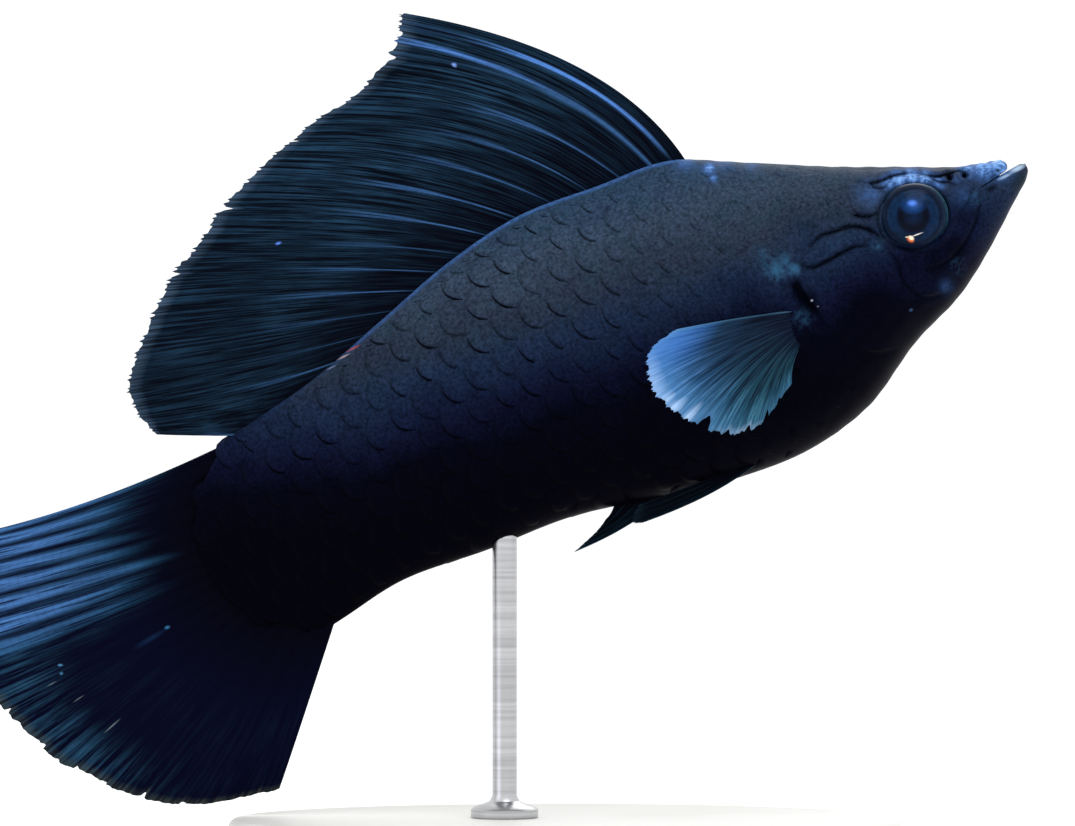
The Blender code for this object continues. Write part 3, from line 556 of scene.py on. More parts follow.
# Small marks on the hide, some of them painted light: painted shade at the gill cover and the mouth, and
# painted highlights on the lips and at the sail's last root.
HIDE_MARKS_AND_PAINTED_LIGHT = (  # distance, height, half length and height, softness, strength and colour
    # Painted shade along the gill cover's rear edge.
    (22.7, -2.2, 1.0, 1.5, 0.1, 0.85, "020208"),
    (22.7, -2.3, 0.16, 0.13, 0.1, 0.9, "a0a8c0"),
    (22.45, -3.0, 0.13, 0.09, 0.1, 0.6, "7c8898"),
    (15.06, -6.9, 0.24, 0.18, 0.0, 0.8, "3a5478"),
    (0.9, -1.1, 1.6, 1.0, 0.2, 0.8, "16242a"),
    # Painted highlights along the rims of the lips.
    (0.9, 0.20, 1.0, 0.30, 0.3, 0.85, "a4bcd4"),
    (2.3, 0.06, 0.9, 0.18, 0.2, 0.8, "94acc8"),
    (2.1, 1.6, 0.9, 0.22, 0.0, 0.7, "a8ccf6"),
    # Painted shade in a notch above the upper lip and in the corner of the mouth.
    (2.62, 0.80, 0.34, 0.26, 0.2, 0.9, "040816"),
    (3.9, -0.35, 0.9, 0.40, 0.1, 0.8, "02030c"),
    # A painted warm highlight along the sail's last root.
    (60.9, 11.72, 0.85, 0.12, 0.1, 0.8, "b04c40"),
    (62.0, 11.44, 0.75, 0.10, 0.1, 0.8, "c4a8a8"),
    (63.4, 11.05, 0.60, 0.09, 0.1, 0.6, "8094b8"),
)


def layered(tree, colour, layers):
    """A colour with others laid over it in turn. layers are pairs of a share and a colour."""
    for share, tint in layers:
        colour = add(tree, "Mix", {"Factor": share, "A": colour, "B": tint}, data_type="RGBA")
    return colour


def hide_colour(tree):
    """The hide's colour: slate blue high on the flank, going to ink below and towards the tail, partly the
    fish's own pigment and partly painted light, lighter on top as if lit from above.
    """
    place = add(tree, "TexCoord").outputs["Object"]
    turned = add(
        tree,
        "Mapping",
        {
            "Vector": place,
            "Location": UNPOSE.translation / MM,
            "Rotation": (0, PITCH, 0),
            "Scale": (1 / MM,) * 3,
        },
    )
    apart = add(tree, "SeparateXYZ", {"Vector": turned})
    drift = add(tree, "TexNoise", {"Vector": turned, "Scale": 0.16, "Detail": 3.0, "Roughness": 0.6})
    tilted = add(
        tree,
        "Math",
        {0: apart.outputs["X"], 1: BAND_TILT, 2: apart.outputs["Z"]},
        operation="MULTIPLY_ADD",
    )
    on_stem = add(
        tree,
        "MapRange",
        {
            "Value": apart.outputs["X"],
            "From Min": -STEM_GLOOM_FROM,
            "From Max": -STEM_GLOOM_TO,
            "To Max": STEM_GLOOM_DROP,
        },
    )
    marks = add(tree, "Attribute", attribute_name="markings")
    # The dark patches, partly the throat's pigment and partly painted shade, move the colour down its bands.
    gloomy = add(
        tree, "Math", {0: marks.outputs["Alpha"], 1: GLOOM_DROP, 2: on_stem}, operation="MULTIPLY_ADD"
    )
    darker = add(tree, "Math", {0: tilted, 1: gloomy}, operation="ADD")
    wander = add(tree, "Math", {0: drift, 1: BAND_DRIFT, 2: darker}, operation="MULTIPLY_ADD")
    shift = BAND_TILT * BAND_MIDDLE - BAND_DRIFT / 2
    level = add(
        tree, "MapRange", {"Value": wander, "From Min": BAND_LOW - shift, "From Max": BAND_HIGH - shift}
    )
    span = BAND_HIGH - BAND_LOW
    bands = [((height - BAND_LOW) / span, colour) for height, colour in HIDE_TONE_AND_TOP_LIGHT_BANDS]
    # Partly the hide's own pigment and partly painted light: lighter high on the flank, painted shade below.
    pigment = add(tree, "ValToRGB", {"Fac": level}, stops=bands)
    tint = add(tree, "TexNoise", {"Vector": turned, "Scale": 0.45, "Detail": 4.0, "Roughness": 0.65})
    hue = add(tree, "ValToRGB", {"Fac": tint}, stops=[(0.3, "4c4a76"), (0.5, "7f8090"), (0.7, "3f7480")])
    colour = add(tree, "Mix", {"Factor": 0.5, "A": pigment, "B": hue}, data_type="RGBA", blend_type="OVERLAY")
    stipple = add(tree, "TexNoise", {"Vector": turned, "Scale": 3.4, "Detail": 2.0, "Roughness": 0.7})
    grain = add(
        tree, "MapRange", {"Value": stipple, "From Min": 0.3, "From Max": 0.7, "To Min": 0.5, "To Max": 1.5}
    )
    colour = add(tree, "VectorMath", {0: colour, "Scale": grain}, operation="SCALE")
    masks = add(tree, "SeparateColor", {"Color": marks})
    speckle = add(tree, "TexNoise", {"Vector": turned, "Scale": 2.2, "Detail": 3.0, "Roughness": 0.7})
    broken = add(tree, "MapRange", {"Value": speckle, "From Min": 0.34, "From Max": 0.60, "To Min": 0.5})
    # Bright blue, partly the skin's own colour and partly painted highlight.
    blue_share = add(tree, "Math", {0: masks.outputs["Red"], 1: broken}, operation="MULTIPLY")
    blue = add(
        tree, "ValToRGB", {"Fac": blue_share}, stops=[(0.0, "26406a"), (0.5, "4570b4"), (1.0, "84b4f4")]
    )
    ragged = add(tree, "Math", {0: speckle, 1: 1.6, 2: masks.outputs["Green"]}, operation="MULTIPLY_ADD")
    teal_share = add(tree, "MapRange", {"Value": ragged, "From Min": 0.90, "From Max": 1.80, "To Max": 0.65})
    inside = add(tree, "MapRange", {"Value": masks.outputs["Green"], "From Min": 0.03, "From Max": 0.3})
    teal_share = add(tree, "Math", {0: teal_share, 1: inside}, operation="MULTIPLY")
    # The markings' blue channel lays painted shade into the folds, pits and slits.
    layers = [(blue_share, blue), (teal_share, "315d7e"), (masks.outputs["Blue"], "010103")]
    for distance, height, half_long, half_tall, soft, strength, tone in HIDE_MARKS_AND_PAINTED_LIGHT:
        oval = {
            "Vector": turned,
            "Location": (-distance, 0, height),
            "Scale": (half_long, THROUGH, half_tall),
        }
        centred = add(tree, "Mapping", oval, vector_type="TEXTURE")
        away = add(tree, "VectorMath", {0: centred}, operation="LENGTH")
        share = add(tree, "MapRange", {"Value": away, "From Min": 1.0, "From Max": soft, "To Max": strength})
        layers.append((share, tone))
    return layered(tree, colour, layers), turned


# Wet hide under a thin coat of slime: dark pigment, painted lighter and slate blue high on the flank as
# if lit from above and with bright blue patches that are partly painted highlights, under a soft broken
# gloss, with pores about 0.2 mm apart. Its noises lie in the fish's own frame in millimetres, so that
# their scale is features per millimetre.
hide_finish, tree, shader = finish_named(
    "wet_pigmented_hide",
    Roughness=0.46,
    Specular_IOR_Level=0.02,
    Specular_Tint=WET_TINT,
)
colour, turned = hide_colour(tree)
pores = add(tree, "TexNoise", {"Vector": turned, "Scale": 4.2, "Detail": 3.0, "Roughness": 0.6})
bump = add(tree, "Bump", {"Height": pores, "Strength": 0.3, "Distance": 0.05 * MM})
connect(tree, shader, {"Base Color": colour, "Normal": bump})

skin = as_object("skin", closed_body(body_rings(), SKIN_AROUND, creased_form))
joined(skin, [joined(gape(), [mouth_lining()], "DIFFERENCE")], "DIFFERENCE")
joined(skin, [lip("upper_lip", UPPER_LIP), lip("lower_lip", LOWER_LIP)], "UNION")
softened = bmesh.new()
softened.from_mesh(skin.data)
mouth_end = MOUTH_CORNER + 0.8 * MM
mouth = [vert for vert in softened.verts if -vert.co.x < mouth_end and vert.co.z > -1.6 * MM]
for _ in range(2):
    bmesh.ops.smooth_vert(
        softened, verts=mouth, factor=0.35, use_axis_x=True, use_axis_y=True, use_axis_z=True
    )
bmesh.ops.transform(softened, matrix=POSE, verts=softened.verts)
softened.to_mesh(skin.data)
softened.free()
s, side, h = own_frame(skin.data)
middle_height = station(s * MM)[3] / MM
skin_angle = np.arctan2(h - middle_height, np.abs(side - sway(s * MM) / MM))
# Painted shade in the folds, pits and gill slit, and inside the mouth between the jaws.
_, dark = head_relief(s * MM, h * MM, skin_angle)
inside_mouth = (s > 0.9) & (s < MOUTH_CORNER / MM) & (np.abs(side) < flank(s * MM, h * MM) / MM - 0.75)
dark = np.maximum(dark, inside_mouth * (np.abs(h - 0.25) < 0.6) * 1.0)
paint_masks(skin.data, dark)
skin.data.shade_smooth()
skin.data.materials.clear()
skin.data.materials.append(hide_finish)
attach(skin, "root")
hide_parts("head", "trunk", "tail_stem", "gill_cover_left", "gill_cover_right")

# Scales. Thin round plates of bone and keratin that overlap like roof tiles, each rooted in the hide
# under the one in front with its rear edge free. They lie in lengthwise rows a fixed width apart, each
# row half a scale behind its neighbours, and rows run out where the body narrows.
SCALE_PITCH = 2.6 * MM
ROW_WIDTH = 2.75 * MM
SCALE_LENGTH = 1.72 * SCALE_PITCH
SCALE_WIDTH = 1.36 * ROW_WIDTH
SCALE_ROOT_SUNK = 0.04 * MM
SCALE_EDGE_RAISED = 0.055 * MM
SCALE_THICK = 0.035 * MM
SHEATH_SCALE_LENGTH, SHEATH_SCALE_WIDTH = 3.6 * MM, 1.5 * MM
SHEATH_SCALE_PITCH = 2.75 * MM
SCALE_ACROSS, SCALE_ALONG = 6, 5
SCALES_TO = 79.5 * MM
GROWTH_RINGS = 6.4  # from a scale's middle to its edge
HEAD_SCALES_FROM = 15.5 * MM
TABLE_STEP = 0.1 * MM
PATCH = 0.003  # the size of one scale's patch on the bake map

table_distances = np.arange(8 * MM, 84 * MM, TABLE_STEP)
table_angles = np.radians(np.linspace(-150, 150, 301))
grid_s, grid_a = np.meshgrid(table_distances, table_angles, indexing="ij")
steps = np.linalg.norm(np.diff(body_point(grid_s, grid_a), axis=1), axis=2)
table_arcs = np.concatenate([np.zeros((len(table_distances), 1)), np.cumsum(steps, axis=1)], axis=1)
table_arcs -= table_arcs[:, [len(table_angles) // 2]]


def arc_row(distance):
    return int(np.clip(round((distance - table_distances[0]) / TABLE_STEP), 0, len(table_distances) - 1))


def scale_spots():
    """Each scale on a flank: the distance and the arc of its middle, its length and its width."""
    spots = []
    highest, lowest = math.radians(90), math.radians(-90)
    for row in range(-8, 9):
        phase = 0.5 * (row % 2)
        for number in range(40):
            distance = HEAD_SCALES_FROM + (number + phase) * SCALE_PITCH
            arc = row * ROW_WIDTH
            if distance > SCALES_TO:
                continue
            arcs = table_arcs[arc_row(distance)]
            top, bottom = np.interp([highest, lowest], table_angles, arcs)
            if arc > top - 0.30 * ROW_WIDTH or arc < bottom + 0.30 * ROW_WIDTH:
                continue
            angle = float(np.interp(arc, arcs, table_angles))
            height = float(body_point(np.array(distance), angle)[2])
            bare = 0.62 if height < (GILL_SLIT_TOP + 1.6) * MM else 0.35
            if distance < gill_edge(angle) + bare * SCALE_LENGTH and height < 3.6 * MM:
                continue
            if distance > stem_end_at_share(math.sin(angle)) - 0.30 * SCALE_LENGTH:
                continue
            size = 1 - 0.15 * float(smooth_step(66 * MM, 80 * MM, distance))
            spots.append((distance, arc, size * SCALE_LENGTH, size * SCALE_WIDTH))
    for distance in np.arange(SHEATH_FROM * MM + 3 * MM, SHEATH_TO * MM, SHEATH_SCALE_PITCH):
        back = station(distance)[0] - 0.75 * MM
        middle = station(distance)[3]
        angle = math.asin((back - middle) / (station(distance)[0] - middle))
        arc = float(np.interp(angle, table_angles, table_arcs[arc_row(distance)]))
        spots.append((distance, arc, SHEATH_SCALE_LENGTH, SHEATH_SCALE_WIDTH))
    return spots


def set_scales(name, on_left, draw):
    """One flank's scales as a joined mesh, each with its own length, lean and tone."""
    made = bmesh.new()
    plate = made.loops.layers.uv.new("plate")
    bake = made.loops.layers.uv.new("OFBake")
    tone = made.verts.layers.float.new("tone")
    for distance, arc, length, width in scale_spots():
        size = 1 + 0.05 * draw.standard_normal()
        lean = 0.05 * draw.standard_normal()
        shade = draw.random()
        raised = SCALE_EDGE_RAISED * (1 + 0.22 * draw.standard_normal())
        flat_on_stem = 0.7 * smooth_step(66 * MM, 78 * MM, distance)
        raised *= 0.1 + 0.9 * smooth_step(22 * MM, 44 * MM, distance) - flat_on_stem
        grown = bmesh.ops.create_grid(made, x_segments=SCALE_ACROSS, y_segments=SCALE_ALONG, size=1.0)
        verts = grown["verts"]
        flat = np.array([vert.co[:2] for vert in verts])
        across, along = flat[:, 0], flat[:, 1]
        round_across = across * np.sqrt(1 - 0.46 * along**2)
        round_along = along * np.sqrt(1 - np.where(along > 0, 0.42, 0.30) * across**2)
        s = distance + 0.5 * length * size * round_along
        a = arc + 0.5 * width * size * (round_across + lean * round_along)
        angles = np.array([np.interp(y, table_arcs[arc_row(x)], table_angles) for x, y in zip(s, a)])
        rise = (round_along + 1) / 2
        curl = 0.02 * MM * np.clip(round_along - 0.55, 0, 1) ** 2 + 0.04 * MM * round_across**4
        lift = -SCALE_ROOT_SUNK + (SCALE_ROOT_SUNK + raised) * rise - curl
        turn = angles if on_left else math.pi - angles
        spot = body_point(s, turn, lift)
        for vert, point in zip(verts, spot):
            vert.co = point
            vert[tone] = shade
        root_u = (distance - 0.5 * length) / STEM_END
        own_angle = float(np.interp(arc, table_arcs[arc_row(distance)], table_angles))
        root_v = 0.5 + math.degrees(own_angle) / 360
        place = {vert: k for k, vert in enumerate(verts)}
        for face in {face for vert in verts for face in vert.link_faces}:
            for loop in face.loops:
                x, y = flat[place[loop.vert]]
                loop[plate].uv = (round_across[place[loop.vert]], round_along[place[loop.vert]])
                loop[bake].uv = (root_u + 0.5 * PATCH * x, root_v + 0.5 * PATCH * y)
    if on_left:
        bmesh.ops.reverse_faces(made, faces=made.faces)
    bmesh.ops.transform(made, matrix=POSE, verts=made.verts)
    return as_object(name, made)


# Scale plates: clear keratin over dark pigment, slightly glossier than the hide. A thin dark crescent
# along the free edge, heaviest on its lower side and towards the tail, is partly the pigment cells that
# crowd there and partly painted shadow under the edge, and each plate is painted lighter towards its
# free edge and darker at its root, in painted shade under the scale in front. Fine growth rings, drawn
# about 0.35 mm apart so that they show, break up the gloss.
scale_finish, tree, shader = finish_named(
    "keratin_scale_over_pigment", Roughness=0.44, Specular_IOR_Level=0.02, Specular_Tint=WET_TINT
)
colour, turned = hide_colour(tree)
own_place = add(tree, "UVMap", uv_map="plate")
from_middle = add(tree, "VectorMath", {0: own_place}, operation="LENGTH")
rim = add(tree, "MapRange", {"Value": from_middle, "From Min": 0.90, "From Max": 0.97})
towards = {0: own_place, 1: (-0.50, 0.87, 0)}
lower_rear = add(tree, "VectorMath", towards, operation="DOT_PRODUCT")
tone = add(tree, "Attribute", attribute_name="tone").outputs["Fac"]
tailward = add(tree, "SeparateXYZ", {"Vector": turned}).outputs["X"]
stronger_tailward = add(tree, "MapRange", {"Value": tailward, "From Min": -22.0, "From Max": -44.0, "To Min": 0.2})
# The crescent is partly edge pigment and partly painted shadow, heaviest on the lower side.
below = add(tree, "MapRange", {"Value": lower_rear, "From Min": 0.66, "From Max": 0.90})
strongest = add(tree, "MapRange", {"Value": tone, "From Max": 0.8, "To Min": 0.3, "To Max": 0.95})
edge_pigment_and_shadow = add(tree, "Math", {0: below, 1: strongest}, operation="MULTIPLY")
edge_pigment_and_shadow = add(tree, "Math", {0: edge_pigment_and_shadow, 1: stronger_tailward}, operation="MULTIPLY")
crescent = add(tree, "Math", {0: rim, 1: edge_pigment_and_shadow}, operation="MULTIPLY")
toned = add(tree, "MapRange", {"Value": tone, "To Min": 0.92, "To Max": 1.08})
# Painted light: lighter towards the free edge, darker at the root under the scale in front.
painted_edge_light = add(
    tree, "MapRange", {"Value": lower_rear, "From Min": -0.6, "From Max": 0.8, "To Min": 0.90, "To Max": 1.08}
)
toned = add(tree, "Math", {0: toned, 1: painted_edge_light}, operation="MULTIPLY")
lit = add(tree, "VectorMath", {0: colour, "Scale": toned}, operation="SCALE")
edged = add(tree, "Mix", {"Factor": crescent, "A": lit, "B": "010104"}, data_type="RGBA")
rings = add(tree, "Math", {0: from_middle, 1: math.tau * GROWTH_RINGS}, operation="MULTIPLY")
ridges = add(tree, "Math", {0: rings}, operation="SINE")
bump = add(tree, "Bump", {"Height": ridges, "Strength": 0.12, "Distance": 0.010 * MM})
connect(tree, shader, {"Base Color": edged, "Normal": bump})

scale_draw = np.random.default_rng(11)
for name, on_left in (("scales_left", True), ("scales_right", False)):
    scales = set_scales(name, on_left, scale_draw)
    thickness = scales.modifiers.new("plate_thickness", "SOLIDIFY")
    thickness.thickness = SCALE_THICK
    thickness.offset = -1.0
    paint_masks(scales.data)
    scales.data.shade_smooth()
    scales.data.materials.append(scale_finish)
    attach(scales, "root")

# Eyes. Firm round balls with a clear domed front over a dark iris, seated in the skull with the skin
# drawn up to them. Each is a sphere, flattened towards the skull and bulged over the pupil.
EYE_RADIUS = 3.39 * MM
EYE_DEPTH_RADIUS = 1.75 * MM
EYE_PROUD = 0.72 * MM
PUPIL_RADIUS = 1.3
PUPIL_BULGE = 0.16 * MM
LENS_EDGE = 2.40  # where the domed front meets the outer iris, in millimetres from the middle

# Wet cornea over a dark blue iris: a soft gloss, a painted blue glow and highlight high in the eye,
# painted shade over its lower part, a thin pale ring at its edge, and low in the pupil the iris's warm
# orange edge with painted white glints on it.
eye_finish, tree, shader = finish_named(
    "clear_cornea_over_dark_iris",
    Roughness=0.22,
    Specular_IOR_Level=0.08,
    Specular_Tint=WET_TINT,
    Coat_Weight=0.04,
    Coat_Roughness=0.12,
)
iris_place = add(tree, "UVMap", uv_map="iris")
radius = add(tree, "VectorMath", {0: iris_place}, operation="LENGTH")
EYE_BANDS = (  # millimetres from the middle, and colour
    (0.0, "0c1c34"),
    (0.6, "09152a"),
    (1.05, "03040c"),
    (1.35, "040819"),
    (1.60, "0b2440"),
    (2.20, "0b2640"),
    (2.40, "060e1e"),
    (2.55, "0a172a"),
    (2.92, "0e2236"),
    (3.07, "24424e"),
    (3.13, "3a5c6a"),
    (3.19, "030408"),
)
reach = add(tree, "MapRange", {"Value": radius, "From Max": EYE_RADIUS / MM})
bands = [(at / (EYE_RADIUS / MM), tint) for at, tint in EYE_BANDS]
banded = add(tree, "ValToRGB", {"Fac": reach}, stops=bands)
grain = add(tree, "TexNoise", {"Vector": iris_place, "Scale": 1.6, "Detail": 5.0, "Roughness": 0.7})
mottle = add(tree, "ValToRGB", {"Fac": grain}, stops=[(0.35, "40405c"), (0.65, "a0bccc")])
iris = add(tree, "Mix", {"Factor": 0.65, "A": banded, "B": mottle}, data_type="RGBA", blend_type="OVERLAY")


def oval_share(tree, place, centre, lean, half_long, half_tall, soft, strength=1.0):
    """Strength inside a leaning oval, 0 outside. soft is the share of the oval where it begins to fade."""
    oval = {"Vector": place, "Location": (*centre, 0), "Scale": (half_long, half_tall, 1)}
    oval["Rotation"] = (0, 0, math.radians(lean))
    turned_place = add(tree, "Mapping", oval, vector_type="TEXTURE")
    away = add(tree, "VectorMath", {0: turned_place}, operation="LENGTH")
    return add(tree, "MapRange", {"Value": away, "From Min": 1.0, "From Max": soft, "To Max": strength})


# Painted light on the iris: shade over its lower part, a blue glow and highlight high in it, and low in the
# pupil the iris's warm orange edge with painted white glints on it.
EYE_PAINTED_LIGHT = (  # middle, lean in degrees, half length and height, softness, strength and colour
    ((1.10, -1.30), 26, 2.4, 1.30, 0.1, 0.55, "03040e"),
    ((-0.34, 0.85), 26, 1.25, 0.85, 0.0, 0.70, "1c5098"),
    ((-0.41, 1.08), 26, 0.55, 0.36, 0.0, 0.95, "5484ea"),
    ((1.12, -1.72), 60, 0.42, 0.29, 0.4, 1.0, "e06a24"),
    ((1.02, -1.64), 55, 0.33, 0.22, 0.4, 1.0, "fff0d0"),
    ((0.42, -1.60), 6, 0.66, 0.07, 0.3, 0.9, "f0e8e0"),
    ((1.34, -1.40), 20, 0.16, 0.07, 0.4, 0.9, "f4e4d0"),
)
marks = [(oval_share(tree, iris_place, *oval), tint) for *oval, tint in EYE_PAINTED_LIGHT]
connect(tree, shader, {"Base Color": layered(tree, iris, marks)})

eye_distance, eye_height = EYE_AT[0] * MM, EYE_AT[1] * MM
outward = (flank_normal(eye_distance, eye_height) + Vector((0, 1.6, 0))).normalized()
surface = Vector((-eye_distance, float(flank(eye_distance, eye_height)), eye_height))
for name, node_name, mirror in (("eyeball_left", "eye_left", 1), ("eyeball_right", "eye_right", -1)):
    made = bmesh.new()
    bmesh.ops.create_uvsphere(made, u_segments=96, v_segments=64, radius=1.0)
    iris_map = made.loops.layers.uv.new("iris")
    centre = surface - outward * (EYE_DEPTH_RADIUS - EYE_PROUD)
    turn = outward.to_track_quat("Z", "Y").to_matrix().to_4x4()
    stretch = Matrix.Diagonal((EYE_RADIUS, EYE_RADIUS, EYE_DEPTH_RADIUS, 1.0))
    lowered = Matrix.Scale(EYE_TALL, 4, Vector((0, 0, 1)))
    bmesh.ops.transform(made, matrix=Matrix.Translation(centre) @ lowered @ turn @ stretch, verts=made.verts)
    for vert in made.verts:
        away = math.hypot(-vert.co.x - eye_distance, (vert.co.z - eye_height) / EYE_TALL) / MM
        facing = (vert.co - centre).dot(outward) > 0
        vert.co += outward * PUPIL_BULGE * float(1 - smooth_step(0.3, 1.25 * PUPIL_RADIUS, away)) * facing
        vert.co -= outward * 0.03 * MM * float(swell(LENS_EDGE, 0.10, away)) * facing
    for face in made.faces:
        for loop in face.loops:
            tailward, upward = -loop.vert.co.x - eye_distance, loop.vert.co.z - eye_height
            loop[iris_map].uv = (tailward / MM, upward / MM)
    if mirror < 0:
        bmesh.ops.scale(made, vec=(1, -1, 1), verts=made.verts)
        bmesh.ops.reverse_faces(made, faces=made.faces)
    bmesh.ops.transform(made, matrix=POSE, verts=made.verts)
    eye = as_object(name, made)
    eye.data.shade_smooth()
    eye.data.materials.append(eye_finish)
    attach(eye, "root")
    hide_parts(node_name)

# Sail, the back fin of a male. Fifteen bony rays carry a thin dark membrane; each ray forks twice
# towards a frayed margin, and the whole sail waves a little. It is one sheet raised over its rays.
RAY_HALF_COLUMNS = 12  # columns of faces from a ray to the middle of the membrane beside it
FIRST_BRANCH, SECOND_BRANCH = 3, 6  # the columns that follow a ray's inner and outer branch
FIN_ROOT_SUNK = 0.7 * MM
DORSAL_RAYS = 15
DORSAL_SHAPE = (  # across, root distance, bend distance and height, tip distance and height
    (0.00, 26.9, 28.0, 25.6, 44.4, 37.0),
    (0.09, 29.2, 31.6, 25.4, 45.9, 35.4),
    (0.18, 32.0, 37.0, 25.7, 50.2, 32.7),
    (0.29, 35.9, 42.4, 25.8, 56.2, 31.5),
    (0.43, 42.2, 50.0, 23.6, 62.8, 29.8),
    (0.57, 47.8, 54.8, 19.7, 70.0, 26.6),
    (0.72, 52.9, 61.0, 17.2, 75.9, 22.7),
    (0.86, 57.8, 66.0, 13.2, 80.9, 17.7),
    (0.94, 62.0, 69.0, 11.2, 81.2, 15.0),
    (1.00, 73.0, 75.6, 10.2, 80.3, 12.7),
)
DORSAL_WAVE = 0.9 * MM


def bend(root, control, tip, reach):
    start, middle, end = (1 - reach) ** 2, 2 * reach * (1 - reach), reach**2
    return [start * a + middle * b + end * c for a, b, c in zip(root, control, tip)]


def fork_offsets(column, reach, fork_from, fork_again):
    """Where each column of a ray's sheet lies, in ray spacings from the ray, and its branches' places."""
    inner = 0.02 + 0.23 * smooth_step(fork_from, 1.25, reach) - 0.115 * smooth_step(fork_again, 1.3, reach)
    outer = 0.05 + 0.20 * smooth_step(fork_from, 1.25, reach) + 0.125 * smooth_step(fork_again, 1.3, reach)
    first = inner * column / FIRST_BRANCH
    second = inner + (outer - inner) * (column - FIRST_BRANCH) / (SECOND_BRANCH - FIRST_BRANCH)
    share = np.clip((column - SECOND_BRANCH) / (RAY_HALF_COLUMNS - SECOND_BRANCH), 0, 1)
    last = outer + (0.5 - outer) * share ** (1.6 - 0.6 * smooth_step(fork_from, 1.0, reach))
    offset = np.where(column <= FIRST_BRANCH, first, np.where(column <= SECOND_BRANCH, second, last))
    return offset, inner, outer


def evenly(share):
    return share


def rayed_fin(
    name, shape, rays, rows, place, thin, thick, fray, glow, fine,
    tears=(), forks=(0.42, 0.72), wide=0.055, broad=(), spread=evenly, seed=1,
):
    """A fin as one sheet: thin and thick are the membrane's and a ray's thickness at the root and margin.

    fray is how deep the margin is notched between ray tips, and tears are splits: across, width, depth.
    wide is half a ray's width in ray spacings, and broad has the rays that are wider and how many times.
    spread moves the rays' places across the fin. glow and fine say, for places across it and along its
    reach, how bright the rays' painted highlight is and how much the membrane is streaked, from 0 to 1.
    """
    draw = np.random.default_rng(seed)
    shape = np.array(shape)
    tables = (shape[:, 1:] * MM).T
    cells = rays - 1
    columns = cells * 2 * RAY_HALF_COLUMNS
    ray_length = 1 - 0.02 * draw.random(rays)
    fringe = draw.random(columns + 1)
    fringe = 0.5 * fringe + 0.25 * (np.roll(fringe, 1) + np.roll(fringe, -1))

    made = bmesh.new()
    bmesh.ops.create_grid(made, x_segments=columns, y_segments=rows, size=1.0)
    flat = np.array([vert.co[:2] for vert in made.verts])
    number = np.rint((flat[:, 0] + 1) / 2 * columns).astype(int)
    reach = (flat[:, 1] + 1) / 2
    nearest = np.rint(number / (2 * RAY_HALF_COLUMNS)).astype(int)
    column = number - nearest * 2 * RAY_HALF_COLUMNS
    offset, inner, outer = fork_offsets(np.abs(column), reach, *forks)
    across = spread(np.clip((nearest + np.sign(column) * offset) / cells, 0, 1))
    half = np.full(len(reach), float(wide))
    for ray_number, times in broad:
        half[nearest == ray_number] *= times
    away = np.minimum(np.abs(offset - inner), np.abs(offset - outer))
    branches = swell(0, 0.85 * half - 0.4 * half * reach, away)
    stem = np.exp(-((offset / (1.15 * half)) ** 4))
    ray = stem + (branches - stem) * smooth_step(forks[0] - 0.14, forks[0] + 0.06, reach)

    between = 1 - swell(0.5, 0.16, np.abs(offset))
    long = ray_length[nearest] * between + np.minimum(ray_length[nearest], 1) * (1 - between)
    notch = fray * (0.45 * (1 - ray) + 0.55 * fringe[number])
    for tear_at, tear_width, tear_depth in tears:
        notch = notch + tear_depth * np.clip(1 - np.abs(across - tear_at) / tear_width, 0, 1) ** 0.7
    stretched = reach * (1 - notch * smooth_step(0.35, 1.0, reach)) * long
    guides = [curve_through(shape[:, 0], table, across) for table in tables]
    spots = place(guides, across, stretched)
    membrane = thin[0] + (thin[1] - thin[0]) * reach
    bone = thick[0] + (thick[1] - thick[0]) * reach
    depth = membrane + (bone - membrane) * ray
    depth = depth * (1 - 0.6 * smooth_step(0.9, 1.0, reach))

    fin_map = made.loops.layers.uv.new("fin")
    index = {}
    for k, (vert, spot) in enumerate(zip(made.verts, spots)):
        vert.co = spot
        index[vert] = k
    for face in made.faces:
        for loop in face.loops:
            k = index[loop.vert]
            loop[fin_map].uv = (across[k], reach[k])
    bmesh.ops.recalc_face_normals(made, faces=made.faces)
    bmesh.ops.transform(made, matrix=POSE, verts=made.verts)
    fin = as_object(name, made)
    bright, streaked = glow(across, reach), fine(across, reach)
    paint = fin.data.attributes.new("paint", "FLOAT_COLOR", "POINT")
    paint.data.foreach_set("color", np.stack([ray, bright, streaked, np.ones(len(ray))], axis=-1).ravel())
    thickness = fin.vertex_groups.new(name="thickness")
    widest = float(depth.max())
    for k, weight in enumerate(depth / widest):
        thickness.add([k], float(weight), "REPLACE")
    solid = fin.modifiers.new("thickness", "SOLIDIFY")
    solid.thickness = widest
    solid.offset = 0.0
    solid.vertex_group = thickness.name
    fin.data.shade_smooth()
    return fin


def dorsal_place(guide, across, reach):
    root_distance, bend_distance, bend_height, tip_distance, tip_height = guide
    root = (root_distance, station(root_distance)[0] - FIN_ROOT_SUNK)
    distance, height = bend(root, (bend_distance, bend_height), (tip_distance, tip_height), reach)
    wave = DORSAL_WAVE * reach**1.5 * np.sin(math.tau * (0.9 * across - 0.1))
    return np.stack([-distance, sway(root_distance) + wave, height], axis=-1)


